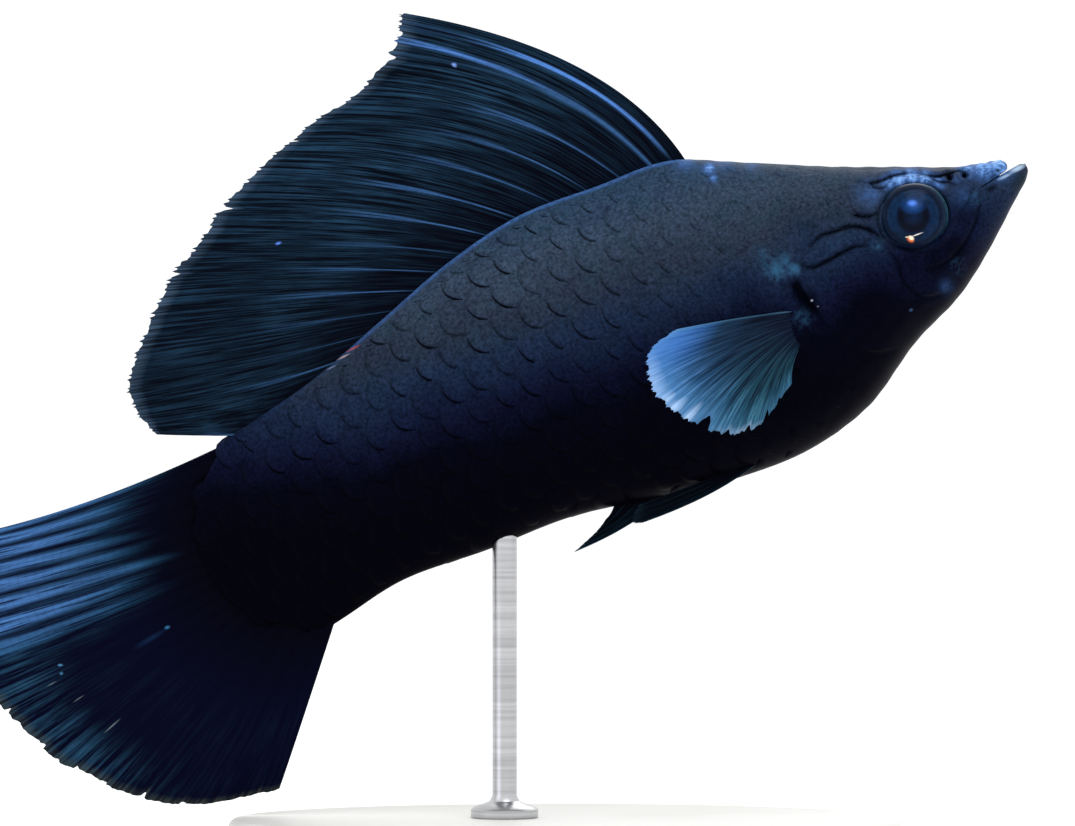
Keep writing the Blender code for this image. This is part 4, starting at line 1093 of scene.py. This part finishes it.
def fin_finish(name, web, fine, ray_dim, ray_bright, plain, worn, worn_from, streaks, joints, marks=()):
    """A dark web with fine streaks and bony rays, painted from the dim to the bright colour where they catch
    light.

    plain is how much of a ray still shows under the fine dark lines. From the reach worn_from on, the
    margin goes to the colour worn. streaks is how many fine lines lie across the fin, and joints how many
    lie along a ray. marks are small ovals: place across and along, half width and length, softness,
    strength and colour.
    """
    made, tree, shader = finish_named(name, Roughness=0.5, Specular_IOR_Level=0.03, Specular_Tint=WET_TINT)
    own = add(tree, "UVMap", uv_map="fin")
    along = add(tree, "SeparateXYZ", {"Vector": own}).outputs["Y"]
    painted = add(tree, "Attribute", attribute_name="paint")
    paint = add(tree, "SeparateColor", {"Color": painted})
    ray, glow, streaked = paint.outputs["Red"], paint.outputs["Green"], paint.outputs["Blue"]
    stretched = add(tree, "Mapping", {"Vector": own, "Scale": (streaks, 2.8, 1.0)})
    streak = add(tree, "TexNoise", {"Vector": stretched, "Scale": 1.0, "Detail": 4.0, "Roughness": 0.65})
    broad = add(tree, "Mapping", {"Vector": own, "Scale": (9.0, 5.0, 1.0)})
    cloud = add(tree, "TexNoise", {"Vector": broad, "Scale": 1.0, "Detail": 3.0, "Roughness": 0.6})
    patchy = add(tree, "MapRange", {"Value": cloud, "From Min": 0.35, "From Max": 0.65, "To Min": 0.55})
    lines = add(tree, "MapRange", {"Value": streak, "From Min": 0.44, "From Max": 0.68})
    line_share = add(tree, "Math", {0: lines, 1: streaked}, operation="MULTIPLY")
    line_share = add(tree, "Math", {0: line_share, 1: patchy}, operation="MULTIPLY")
    outward = add(tree, "MapRange", {"Value": along, "From Min": 0.05, "From Max": 0.45})
    membrane = add(tree, "Mix", {"Factor": outward, "A": "030208", "B": web}, data_type="RGBA")
    turns = add(tree, "Math", {0: along, 1: math.tau * joints}, operation="MULTIPLY")
    jointed = add(tree, "Math", {0: turns}, operation="SINE")
    gap = add(tree, "MapRange", {"Value": jointed, "From Min": 0.5, "To Min": 1.0, "To Max": 0.88})
    drawn = add(tree, "MapRange", {"Value": streak, "From Min": 0.38, "From Max": 0.54, "To Min": plain})
    ray_share = add(tree, "Math", {0: ray, 1: gap}, operation="MULTIPLY")
    ray_share = add(tree, "Math", {0: ray_share, 1: drawn}, operation="MULTIPLY")
    lit = add(tree, "MapRange", {"Value": glow, "From Max": 0.25})
    ray_share = add(tree, "Math", {0: ray_share, 1: lit}, operation="MULTIPLY")
    ray_colour = add(tree, "Mix", {"Factor": glow, "A": ray_dim, "B": ray_bright}, data_type="RGBA")
    margin = add(tree, "MapRange", {"Value": along, "From Min": worn_from})
    thinned = add(tree, "MapRange", {"Value": lines, "To Min": 0.15, "To Max": 0.8})
    frayed = add(tree, "Math", {0: margin, 1: thinned}, operation="MULTIPLY")
    layers = [(line_share, fine), (ray_share, ray_colour), (frayed, worn)]
    layers += [(oval_share(tree, own, (x, y), 0, *oval), tint) for x, y, *oval, tint in marks]
    bump = add(tree, "Bump", {"Height": streak, "Strength": 0.25, "Distance": 0.05 * MM})
    connect(tree, shader, {"Base Color": layered(tree, membrane, layers), "Normal": bump})
    return made


def sail_spread(share):
    """The first rays of the sail stand closer together than the rest."""
    return share - 0.034 * swell(0.13, 0.10, share) * np.minimum(1, share / 0.05)


def sail_glow(across, reach):
    """The rays' painted highlight: brightest on the first two, while the rest glow in their middle and fade
    out in the web's streaks.
    """
    first = swell(0.045, 0.028, across) * smooth_step(0.0, 0.25, reach)
    first *= 1 - 0.8 * smooth_step(0.62, 0.85, reach)
    low_branch = smooth_step(0.104, 0.113, across) * smooth_step(0.42, 0.58, reach)
    second = 0.95 * swell(0.104, 0.024, across) * (0.30 + 0.70 * smooth_step(0.42, 0.75, reach))
    second *= 1 - 0.85 * low_branch
    along = 0.35 + 0.65 * smooth_step(0.02, 0.2, reach) * (1 - smooth_step(0.35, 0.75, reach))
    uneven = 0.55 + 0.45 * np.sin(31.4 * across + 10.4) ** 2
    back = 1 - 0.5 * smooth_step(0.25, 0.9, across)
    rest = 0.48 * along * uneven * back * smooth_step(0.125, 0.16, across)
    rest *= 1 - 0.75 * smooth_step(0.5, 0.85, reach)
    return np.clip(np.maximum(np.maximum(first, second), rest), 0, 1)


def sail_fine(across, reach):
    return (0.3 + 0.7 * smooth_step(0.15, 0.6, reach)) * (1 - 0.4 * smooth_step(0.35, 0.8, across))


# The sail's web is a black membrane. Its rays are painted blue as highlights where light strikes them,
# brightest along the front, with joints drawn about 0.8 mm apart, and fine slate blue streaks fill the
# web between them.
sail_finish = fin_finish(
    "black_sail_membrane_on_blue_rays",
    web="04060d",
    fine="24445e",
    ray_dim="1c3648",
    ray_bright="5080c8",
    plain=0.5,
    worn="50647c",
    worn_from=0.955,
    streaks=210.0,
    joints=24,
    marks=(
        (0.122, 0.805, 0.0050, 0.011, 0.2, 0.9, "7898e0"),
        (0.573, 0.760, 0.0050, 0.011, 0.2, 0.9, "5a80e0"),
    ),
)
sail = rayed_fin(
    "sail",
    DORSAL_SHAPE,
    DORSAL_RAYS,
    72,
    dorsal_place,
    thin=(0.26 * MM, 0.12 * MM),
    thick=(0.52 * MM, 0.20 * MM),
    fray=0.022,
    glow=sail_glow,
    fine=sail_fine,
    wide=0.027,
    broad=((1, 4.0), (2, 2.6)),
    spread=sail_spread,
    tears=((0.50, 0.004, 0.03), (0.335, 0.003, 0.025), (0.13, 0.005, 0.03), (0.64, 0.004, 0.02)),
    seed=3,
)
sail.data.materials.append(sail_finish)
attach(sail, "root")
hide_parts("dorsal_fin")

# Tail fin. A broad soft fan, rooted along the rounded end of the flesh, with eighteen rays that fork
# twice. Its upper half is painted with the blue sheen of the light it catches, and its lower half stays
# dark.
TAIL_RAYS = 18
TAIL_SHAPE = (  # across, root height, bend distance and height, tip distance and height
    (0.00, -9.1, 79.2, -15.8, 84.4, -20.95),
    (0.12, -7.6, 84.0, -15.0, 91.6, -18.95),
    (0.25, -5.7, 87.6, -10.2, 97.7, -14.3),
    (0.40, -3.5, 90.6, -5.4, 102.2, -7.4),
    (0.55, -1.1, 92.4, -1.0, 104.6, 0.2),
    (0.70, 1.7, 92.8, 3.5, 104.6, 5.8),
    (0.85, 5.2, 91.6, 6.6, 103.0, 9.9),
    (1.00, 9.1, 88.0, 8.9, 99.8, 12.0),
)
TAIL_CURL = 1.4 * MM


def tail_place(guide, across, reach):
    root_height, bend_distance, bend_height, tip_distance, tip_height = guide
    share = root_height / (TAIL_SHAPE[0][1] * MM)
    root = (stem_end_at_share(share) - 1.0 * MM, root_height)
    distance, height = bend(root, (bend_distance, bend_height), (tip_distance, tip_height), reach)
    curl = TAIL_CURL * reach**1.6 * np.sin(math.tau * (0.8 * across + 0.35))
    return np.stack([-distance, sway(distance) + curl, height], axis=-1)


def tail_glow(across, reach):
    """The painted sheen on the upper half: teal where its ragged blue begins and blue further out."""
    start = 0.15 + 0.05 * np.sin(61 * across) + 0.03 * np.sin(23 * across + 1)
    start += 0.10 * smooth_step(0.75, 0.92, across)
    upper = smooth_step(0.53, 0.67, across) * (1 - 0.25 * smooth_step(0.92, 1.0, across))
    return upper * smooth_step(start, start + 0.36, reach) * (0.45 + 0.55 * smooth_step(0.3, 0.8, reach))


def tail_fine(across, reach):
    upper = smooth_step(0.50, 0.64, across) * smooth_step(0.18, 0.45, reach)
    lower_tips = swell(0.38, 0.14, across) * smooth_step(0.74, 0.95, reach)
    pale_tips = swell(0.52, 0.06, across) * smooth_step(0.62, 0.85, reach)
    everywhere = 0.06 * smooth_step(0.3, 0.6, reach)
    return np.clip(0.4 * upper + 0.9 * lower_tips + 0.6 * pale_tips + everywhere, 0, 1)


tail_finish = fin_finish(
    "dark_tail_membrane_on_blue_rays",
    web="040417",
    fine="28506c",
    ray_dim="143c54",
    ray_bright="446fa9",
    plain=0.1,
    worn="484e42",
    worn_from=0.955,
    streaks=150.0,
    joints=30,
    marks=(
        (0.503, 0.715, 0.0045, 0.010, 0.1, 0.9, "4a88b0"),
        (0.485, 0.735, 0.0045, 0.009, 0.1, 0.8, "4278a0"),
        (0.453, 0.302, 0.008, 0.014, 0.0, 0.9, "3874a4"),
        (0.450, 0.38, 0.012, 0.09, 0.0, 0.5, "142c50"),
        (0.333, 0.76, 0.0020, 0.050, 0.2, 0.6, "76868e"),
        (0.420, 0.76, 0.0018, 0.030, 0.2, 0.5, "6c7c84"),
        (0.475, 0.79, 0.0018, 0.025, 0.2, 0.5, "6c7c84"),
    ),
)
tail = rayed_fin(
    "tail",
    TAIL_SHAPE,
    TAIL_RAYS,
    60,
    tail_place,
    thin=(0.60 * MM, 0.12 * MM),
    thick=(1.00 * MM, 0.20 * MM),
    fray=0.018,
    glow=tail_glow,
    fine=tail_fine,
    tears=((0.205, 0.003, 0.03), (0.47, 0.003, 0.025), (0.62, 0.004, 0.035)),
    forks=(0.30, 0.62),
    wide=0.31,
    seed=7,
)
tail.data.materials.append(tail_finish)
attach(tail, "root")
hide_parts("tail_fin")

# Breast fins. A small pale fan on each side behind the gill opening, thin enough to pass light, with
# thirteen fine rays. It springs from a narrow root and stands off the flank, its lower margin frayed.
PECTORAL_RAYS = 13
PECTORAL_SHAPE = (  # across, root distance and height, bend distance and height, tip distance and height
    (0.00, 23.7, -2.7, 29.0, -0.8, 35.1, 0.75),
    (0.12, 23.9, -3.0, 29.9, -1.2, 37.9, 0.1),
    (0.25, 24.0, -3.3, 30.5, -1.9, 39.0, -2.0),
    (0.50, 24.3, -3.9, 30.6, -3.9, 37.6, -6.9),
    (0.75, 24.6, -4.5, 29.2, -5.9, 33.0, -10.35),
    (1.00, 24.9, -5.1, 26.7, -6.1, 27.6, -8.2),
)
PECTORAL_SPREAD = math.radians(24)
PECTORAL_CUP = 0.5 * MM
PECTORAL_SURFACING = 1.0 * MM


def pectoral_place(guide, across, reach):
    root, control, tip = guide[0:2], guide[2:4], guide[4:6]
    distance, height = bend(root, control, tip, reach)
    run = np.hypot(distance - root[0], height - root[1])
    cupped = PECTORAL_CUP * np.sin(math.pi * across) * reach
    surfacing = PECTORAL_SURFACING * (np.minimum(1.0, 4 * reach) - 1)
    side = flank(*root) + run * math.tan(PECTORAL_SPREAD) + cupped + surfacing
    return np.stack([-distance, side, height], axis=-1)


def breast_glow(across, reach):
    """The rays' painted highlight: brightest at the tip and along the margin, and dimmer low on the fin."""
    tip = smooth_step(0.55, 0.95, reach) * (1 - 0.55 * smooth_step(0.55, 0.85, across))
    return np.clip(0.15 + 0.85 * tip, 0, 1)


def breast_fine(across, reach):
    """Dark lines between the rays, from near the root to three quarters of the way out."""
    fine = smooth_step(0.06, 0.22, reach) * (1 - 0.75 * smooth_step(0.6, 0.95, reach))
    return fine * (0.7 + 0.3 * smooth_step(0.2, 0.6, across))


# Thin pale blue membrane, slate towards the root, with dark streaks between its rays and a whitish rim
# low on the margin, painted as the light that passes through where it is thinnest.
breast_finish, tree, shader = finish_named(
    "pale_translucent_fin_membrane", Roughness=0.5, Specular_IOR_Level=0.05, Specular_Tint=WET_TINT
)
own = add(tree, "UVMap", uv_map="fin")
parts = add(tree, "SeparateXYZ", {"Vector": own})
painted = add(tree, "Attribute", attribute_name="paint")
paint = add(tree, "SeparateColor", {"Color": painted})
slate = add(
    tree,
    "ValToRGB",
    {"Fac": parts.outputs["Y"]},
    stops=[
        (0.0, "060816"),
        (0.17, "080d1c"),
        (0.4, "0e1e2e"),
        (0.6, "173048"),
        (0.78, "244a70"),
        (0.92, "40709f"),
        (1.0, "5686bc"),
    ],
)
outward = add(tree, "MapRange", {"Value": parts.outputs["Y"], "From Min": 0.1, "From Max": 0.55})
low_side = add(tree, "MapRange", {"Value": parts.outputs["X"], "From Min": 0.35, "From Max": 0.7})
lower = add(tree, "Math", {0: low_side, 1: outward}, operation="MULTIPLY")
greener = add(tree, "Math", {0: lower, 1: 0.8}, operation="MULTIPLY")
long_streaks = add(tree, "Mapping", {"Vector": own, "Scale": (84.0, 2.0, 1.0)})
streak = add(tree, "TexNoise", {"Vector": long_streaks, "Scale": 1.0, "Detail": 4.0, "Roughness": 0.7})
web = add(tree, "Math", {0: 1.0, 1: paint.outputs["Red"]}, operation="SUBTRACT")
dark_lines = add(tree, "Math", {0: web, 1: paint.outputs["Blue"]}, operation="MULTIPLY")
drawn = add(
    tree, "MapRange", {"Value": streak, "From Min": 0.42, "From Max": 0.57, "To Min": 1.0, "To Max": 0.2}
)
dark_lines = add(tree, "Math", {0: dark_lines, 1: drawn}, operation="MULTIPLY")
light_lines = add(tree, "MapRange", {"Value": streak, "From Min": 0.5, "From Max": 0.62, "To Max": 0.45})
glowing = add(tree, "Math", {0: light_lines, 1: paint.outputs["Green"]}, operation="MULTIPLY")
light_tint = add(tree, "Mix", {"Factor": lower, "A": "6698d8", "B": "5c9cb4"}, data_type="RGBA")
root_web = oval_share(tree, own, (0.075, 0.33), 0, 0.05, 0.17, 0.3, 0.85)
blue_tip = oval_share(tree, own, (0.12, 0.86), 0, 0.22, 0.28, 0.0, 0.55)
layers = [
    (greener, "173c48"),
    (dark_lines, "070c1c"),
    (glowing, light_tint),
    (root_web, "04050e"),
    (blue_tip, "3264b4"),
]
patchy = add(tree, "MapRange", {"Value": streak, "From Min": 0.35, "From Max": 0.6, "To Min": 0.5})
# Whitish patches on the lower margin: painted light passing through the thin membrane.
for x, y, half_across, half_along, strength in (
    (0.30, 1.00, 0.18, 0.09, 0.4),
    (0.50, 1.00, 0.025, 0.15, 0.8),
    (0.43, 1.00, 0.025, 0.12, 0.7),
    (0.38, 1.00, 0.02, 0.08, 0.5),
    (0.72, 1.00, 0.12, 0.06, 0.3),
):
    share = oval_share(tree, own, (x, y), 0, half_across, half_along, 0.1, strength)
    broken = add(tree, "Math", {0: share, 1: patchy}, operation="MULTIPLY")
    layers.append((broken, "b8d4f6"))
front_edge = add(
    tree, "MapRange", {"Value": parts.outputs["X"], "From Min": 0.03, "From Max": 0.0, "To Max": 0.5}
)
layers.append((front_edge, "4a7492"))
bump = add(tree, "Bump", {"Height": streak, "Strength": 0.2, "Distance": 0.04 * MM})
connect(tree, shader, {"Base Color": layered(tree, slate, layers), "Normal": bump})


def mirrored(fin, name):
    """The same fin on the fish's other side, mirrored in the plane y = 0."""
    made = bmesh.new()
    made.from_mesh(fin.data)
    bmesh.ops.scale(made, vec=(1, -1, 1), verts=made.verts)
    bmesh.ops.reverse_faces(made, faces=made.faces)
    other = as_object(name, made)
    other.vertex_groups.new(name="thickness")
    solid = other.modifiers.new("thickness", "SOLIDIFY")
    solid.thickness = fin.modifiers["thickness"].thickness
    solid.offset = 0.0
    solid.vertex_group = "thickness"
    other.data.shade_smooth()
    return other


breast_left = rayed_fin(
    "breast_fin_left",
    PECTORAL_SHAPE,
    PECTORAL_RAYS,
    44,
    pectoral_place,
    thin=(0.28 * MM, 0.10 * MM),
    thick=(0.46 * MM, 0.16 * MM),
    fray=0.03,
    glow=breast_glow,
    fine=breast_fine,
    tears=(
        (0.57, 0.022, 0.10),
        (0.66, 0.010, 0.04),
        (0.74, 0.012, 0.05),
        (0.84, 0.016, 0.09),
        (0.92, 0.012, 0.05),
    ),
    forks=(0.35, 0.68),
    wide=0.13,
    seed=5,
)
breast_right = mirrored(breast_left, "breast_fin_right")
for fin, node_name in ((breast_left, "pectoral_fin_left"), (breast_right, "pectoral_fin_right")):
    fin.data.materials.clear()
    fin.data.materials.append(breast_finish)
    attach(fin, "root")
    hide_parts(node_name)

# Belly fins and the male's rod. Two slender fins lie back beside the keel, and behind them the front
# rays of the anal fin are drawn out into a stiff, pointed rod. All are dark, with few rays.
PELVIC_RAYS = 6
PELVIC_SHAPE = (  # as for the breast fins
    (0.00, 33.4, -13.2, 38.0, -14.3, 45.3, -13.35),
    (0.50, 34.6, -13.0, 38.8, -13.7, 45.8, -12.8),
    (1.00, 35.8, -12.6, 39.8, -12.35, 44.6, -11.8),
)
PELVIC_SIDE = 2.1 * MM
PELVIC_TIP_SIDE = 2.35 * MM
ROD_RAYS = 5
ROD_SHAPE = (  # across, root distance, bend distance and height, tip distance and height
    (0.00, 40.6, 44.5, -13.7, 51.6, -13.15),
    (0.35, 42.4, 45.6, -13.1, 50.0, -12.75),
    (0.70, 44.2, 46.4, -12.2, 48.4, -12.3),
    (1.00, 45.7, 46.6, -11.6, 47.3, -11.75),
)


def pelvic_place(guide, across, reach):
    root, control, tip = guide[0:2], guide[2:4], guide[4:6]
    distance, height = bend(root, control, tip, reach)
    side = PELVIC_SIDE + (PELVIC_TIP_SIDE - PELVIC_SIDE) * reach
    return np.stack([-distance, side, height], axis=-1)


def rod_place(guide, across, reach):
    root_distance, bend_distance, bend_height, tip_distance, tip_height = guide
    root = (root_distance, station(root_distance)[1] + FIN_ROOT_SUNK)
    distance, height = bend(root, (bend_distance, bend_height), (tip_distance, tip_height), reach)
    return np.stack([-distance, 0 * distance, height], axis=-1)


# The painted highlight on the small fins' rays, strongest on the front ray.
def small_glow(across, reach):
    return 0.55 * (1 - smooth_step(0.0, 0.25, across)) + 0.12 * smooth_step(0.1, 0.4, reach)


def small_fine(across, reach):
    return 0.4 * (1 - smooth_step(0.1, 0.6, across))


small_fin_finish = fin_finish(
    "black_fin_membrane",
    web="030408",
    fine="1c3c4c",
    ray_dim="0e1a28",
    ray_bright="34627c",
    plain=0.5,
    worn="1a2c38",
    worn_from=0.9,
    streaks=30.0,
    joints=14,
)
belly_left = rayed_fin(
    "belly_fin_left",
    PELVIC_SHAPE,
    PELVIC_RAYS,
    36,
    pelvic_place,
    thin=(0.30 * MM, 0.12 * MM),
    thick=(0.50 * MM, 0.20 * MM),
    fray=0.04,
    glow=small_glow,
    fine=small_fine,
    seed=9,
)
belly_right = mirrored(belly_left, "belly_fin_right")
rod_fin = rayed_fin(
    "anal_rod",
    ROD_SHAPE,
    ROD_RAYS,
    40,
    rod_place,
    thin=(0.42 * MM, 0.20 * MM),
    thick=(0.9 * MM, 0.42 * MM),
    fray=0.02,
    glow=small_glow,
    fine=small_fine,
    wide=0.12,
    seed=13,
)
for fin, node_name in (
    (belly_left, "pelvic_fin_left"),
    (belly_right, "pelvic_fin_right"),
    (rod_fin, "gonopodium"),
):
    fin.data.materials.clear()
    fin.data.materials.append(small_fin_finish)
    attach(fin, "root")
    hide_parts(node_name)

# Base. An oval slab of moulded plastic with softly rounded edges, heavy enough to hold the fish up.
base_low, base_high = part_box("stand_base")
BASE_LENGTH = base_high.x - base_low.x
BASE_WIDTH = base_high.y - base_low.y
BASE_THICK = base_high.z - base_low.z
BASE_ROUNDING = 0.9 * MM

made = bmesh.new()
bmesh.ops.create_cone(made, cap_ends=True, segments=160, radius1=0.5, radius2=0.5, depth=1.0)
bmesh.ops.scale(made, vec=(BASE_LENGTH, BASE_WIDTH, BASE_THICK), verts=made.verts)
bmesh.ops.translate(made, vec=(base_low + base_high) / 2, verts=made.verts)
rims = [edge for edge in made.edges if any(len(face.verts) > 4 for face in edge.link_faces)]
bmesh.ops.bevel(
    made,
    geom=rims,
    offset=BASE_ROUNDING,
    offset_type="OFFSET",
    affect="EDGES",
    segments=6,
    profile=0.5,
    material=-1,
)
base = as_object("base", made)
base.data.shade_smooth()
base.data.set_sharp_from_angle(angle=math.radians(30))

# Matte moulded plastic, off white, with the fine even grain of a spark-eroded mould, drawn 0.35 mm wide.
base_finish, tree, shader = finish_named("moulded_matte_plastic", Roughness=0.52, IOR=1.49)
place = add(tree, "TexCoord").outputs["Object"]
cloud = add(tree, "TexNoise", {"Vector": place, "Scale": 60.0, "Detail": 3.0})
tint = add(tree, "ValToRGB", {"Fac": cloud}, stops=[(0.3, "d3d2cd"), (0.7, "dddcd8")])
grain = add(tree, "TexNoise", {"Vector": place, "Scale": 1 / (0.35 * MM), "Detail": 2.0})
bump = add(tree, "Bump", {"Height": grain, "Strength": 0.3, "Distance": 0.04 * MM})
connect(tree, shader, {"Base Color": tint, "Normal": bump})
base.data.materials.append(base_finish)
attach(base, "root")
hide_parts("stand_base")

# Rod. Turned stainless steel with a small flanged foot screwed to the base, let into the belly above.
rod_low, rod_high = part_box("stand_rod")
ROD_AT = (rod_low.x + rod_high.x) / 2
ROD_RADIUS = 1.1 * MM
ROD_FOOT_RADIUS = (rod_high.x - rod_low.x) / 2
ROD_FOOT_HIGH = 1.4 * MM
ROD_INTO_BELLY = 0.8 * MM
profile = [
    (0.0, base_high.z),
    (ROD_FOOT_RADIUS - 0.1 * MM, base_high.z),
    (ROD_FOOT_RADIUS, base_high.z + 0.12 * MM),
    (ROD_FOOT_RADIUS, base_high.z + 0.75 * MM),
    (ROD_FOOT_RADIUS - 0.2 * MM, base_high.z + 0.95 * MM),
    (ROD_RADIUS + 0.7 * MM, base_high.z + ROD_FOOT_HIGH - 0.1 * MM),
    (ROD_RADIUS + 0.25 * MM, base_high.z + ROD_FOOT_HIGH + 0.1 * MM),
    (ROD_RADIUS, base_high.z + ROD_FOOT_HIGH + 0.6 * MM),
    (ROD_RADIUS, rod_high.z + ROD_INTO_BELLY),
    (0.0, rod_high.z + ROD_INTO_BELLY),
]
made = bmesh.new()
line = [made.verts.new((radius, 0, height)) for radius, height in profile]
edges = [made.edges.new(pair) for pair in zip(line, line[1:])]
bmesh.ops.spin(
    made,
    geom=line + edges,
    cent=(0, 0, 0),
    axis=(0, 0, 1),
    dvec=(0, 0, 0),
    angle=math.tau,
    steps=64,
    use_merge=True,
)
bmesh.ops.remove_doubles(made, verts=made.verts, dist=0.001 * MM)
bmesh.ops.recalc_face_normals(made, faces=made.faces)
bmesh.ops.translate(made, vec=(ROD_AT, 0, 0), verts=made.verts)
rod = as_object("rod", made)
rod.data.shade_smooth()
rod.data.set_sharp_from_angle(angle=math.radians(35))

# Brushed stainless steel: fine rings left by the turning, drawn 0.3 mm apart, which stretch the glints.
rod_finish, tree, shader = finish_named("turned_stainless_steel", Metallic=1.0, Roughness=0.30)
place = add(tree, "TexCoord").outputs["Object"]
squashed = add(tree, "Mapping", {"Vector": place, "Scale": (60.0, 60.0, 1 / (0.3 * MM))})
lines = add(tree, "TexNoise", {"Vector": squashed, "Scale": 1.0, "Detail": 2.0})
tint = add(tree, "ValToRGB", {"Fac": lines}, stops=[(0.3, "a9a9ab"), (0.7, "c6c6c8")])
bump = add(tree, "Bump", {"Height": lines, "Strength": 0.25, "Distance": 0.02 * MM})
connect(tree, shader, {"Base Color": tint, "Normal": bump})
rod.data.materials.append(rod_finish)
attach(rod, "root")
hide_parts("stand_rod")

# Floor. Matte white paper on a table, wide enough that no view shows its edge, under a white room.
FLOOR_HALF = 8.0
made = bmesh.new()
bmesh.ops.create_grid(made, x_segments=8, y_segments=8, size=FLOOR_HALF)
floor = as_object("floor", made)
floor_finish, tree, shader = finish_named("matte_white_paper", Roughness=0.9, Specular_IOR_Level=0.2)
place = add(tree, "TexCoord").outputs["Object"]
cloud = add(tree, "TexNoise", {"Vector": place, "Scale": 2.0, "Detail": 2.0})
tint = add(tree, "ValToRGB", {"Fac": cloud}, stops=[(0.3, "fafafb"), (0.7, "fdfdfd")])
connect(tree, shader, {"Base Color": tint})
floor.data.materials.append(floor_finish)

# Light. A white room lights everything evenly, as in a light tent. A soft box above and in front of the
# fish, a weaker one beyond its tail and one behind it model its form.
world = bpy.data.worlds.new("white_room")
bpy.context.scene.world = world
world.use_nodes = True
world.node_tree.nodes["Background"].inputs["Color"].default_value = linear("feffff")
world.node_tree.nodes["Background"].inputs["Strength"].default_value = 1.07
AIM = Vector((-8 * MM, 0, 42 * MM))
for name, place, size, watts, colour in (
    ("soft_box_above", (0.12, -0.30, 0.60), 0.36, 1.5, "f6f9ff"),
    ("soft_box_left", (-0.60, -0.40, 0.30), 0.35, 0.4, "e6edff"),
    ("soft_box_behind", (0.10, 0.50, 0.50), 0.40, 0.9, "ffffff"),
):
    lamp = bpy.data.lights.new(name, "AREA")
    lamp.shape = "SQUARE"
    lamp.size = size
    lamp.energy = watts
    lamp.color = linear(colour)[:3]
    light = bpy.data.objects.new(name, lamp)
    light.location = place
    light.rotation_euler = (AIM - light.location).to_track_quat("-Z", "Y").to_euler()
    bpy.context.scene.collection.objects.link(light)

# Camera. Level with the fish's middle and looking at its right side, with a long lens, so that the
# whole frame of 1075 by 826 pixels takes in 95.7 mm at the fish and cuts the tail fin's tip off.
PIXEL = 0.089 * MM
JAW_TIP_PIXEL = (1026, 167)
FRAME_CENTRE = (537.5, 413)
FRAME_WIDTH = 1075
LENS, SENSOR = 200, 36
lens = bpy.data.cameras.new("camera")
lens.lens = LENS
lens.sensor_width = SENSOR
lens.clip_start = 0.02
lens.clip_end = 20
camera = bpy.data.objects.new("camera", lens)
camera.location = (
    JAW_TIP.x + (FRAME_CENTRE[0] - JAW_TIP_PIXEL[0]) * PIXEL,
    -FRAME_WIDTH * PIXEL * LENS / SENSOR,
    JAW_TIP.z - (FRAME_CENTRE[1] - JAW_TIP_PIXEL[1]) * PIXEL,
)
camera.rotation_euler = (math.pi / 2, 0, 0)
bpy.context.scene.collection.objects.link(camera)
bpy.context.scene.camera = camera
bpy.context.scene.view_settings.view_transform = "Standard"

bpy.context.view_layer.update()
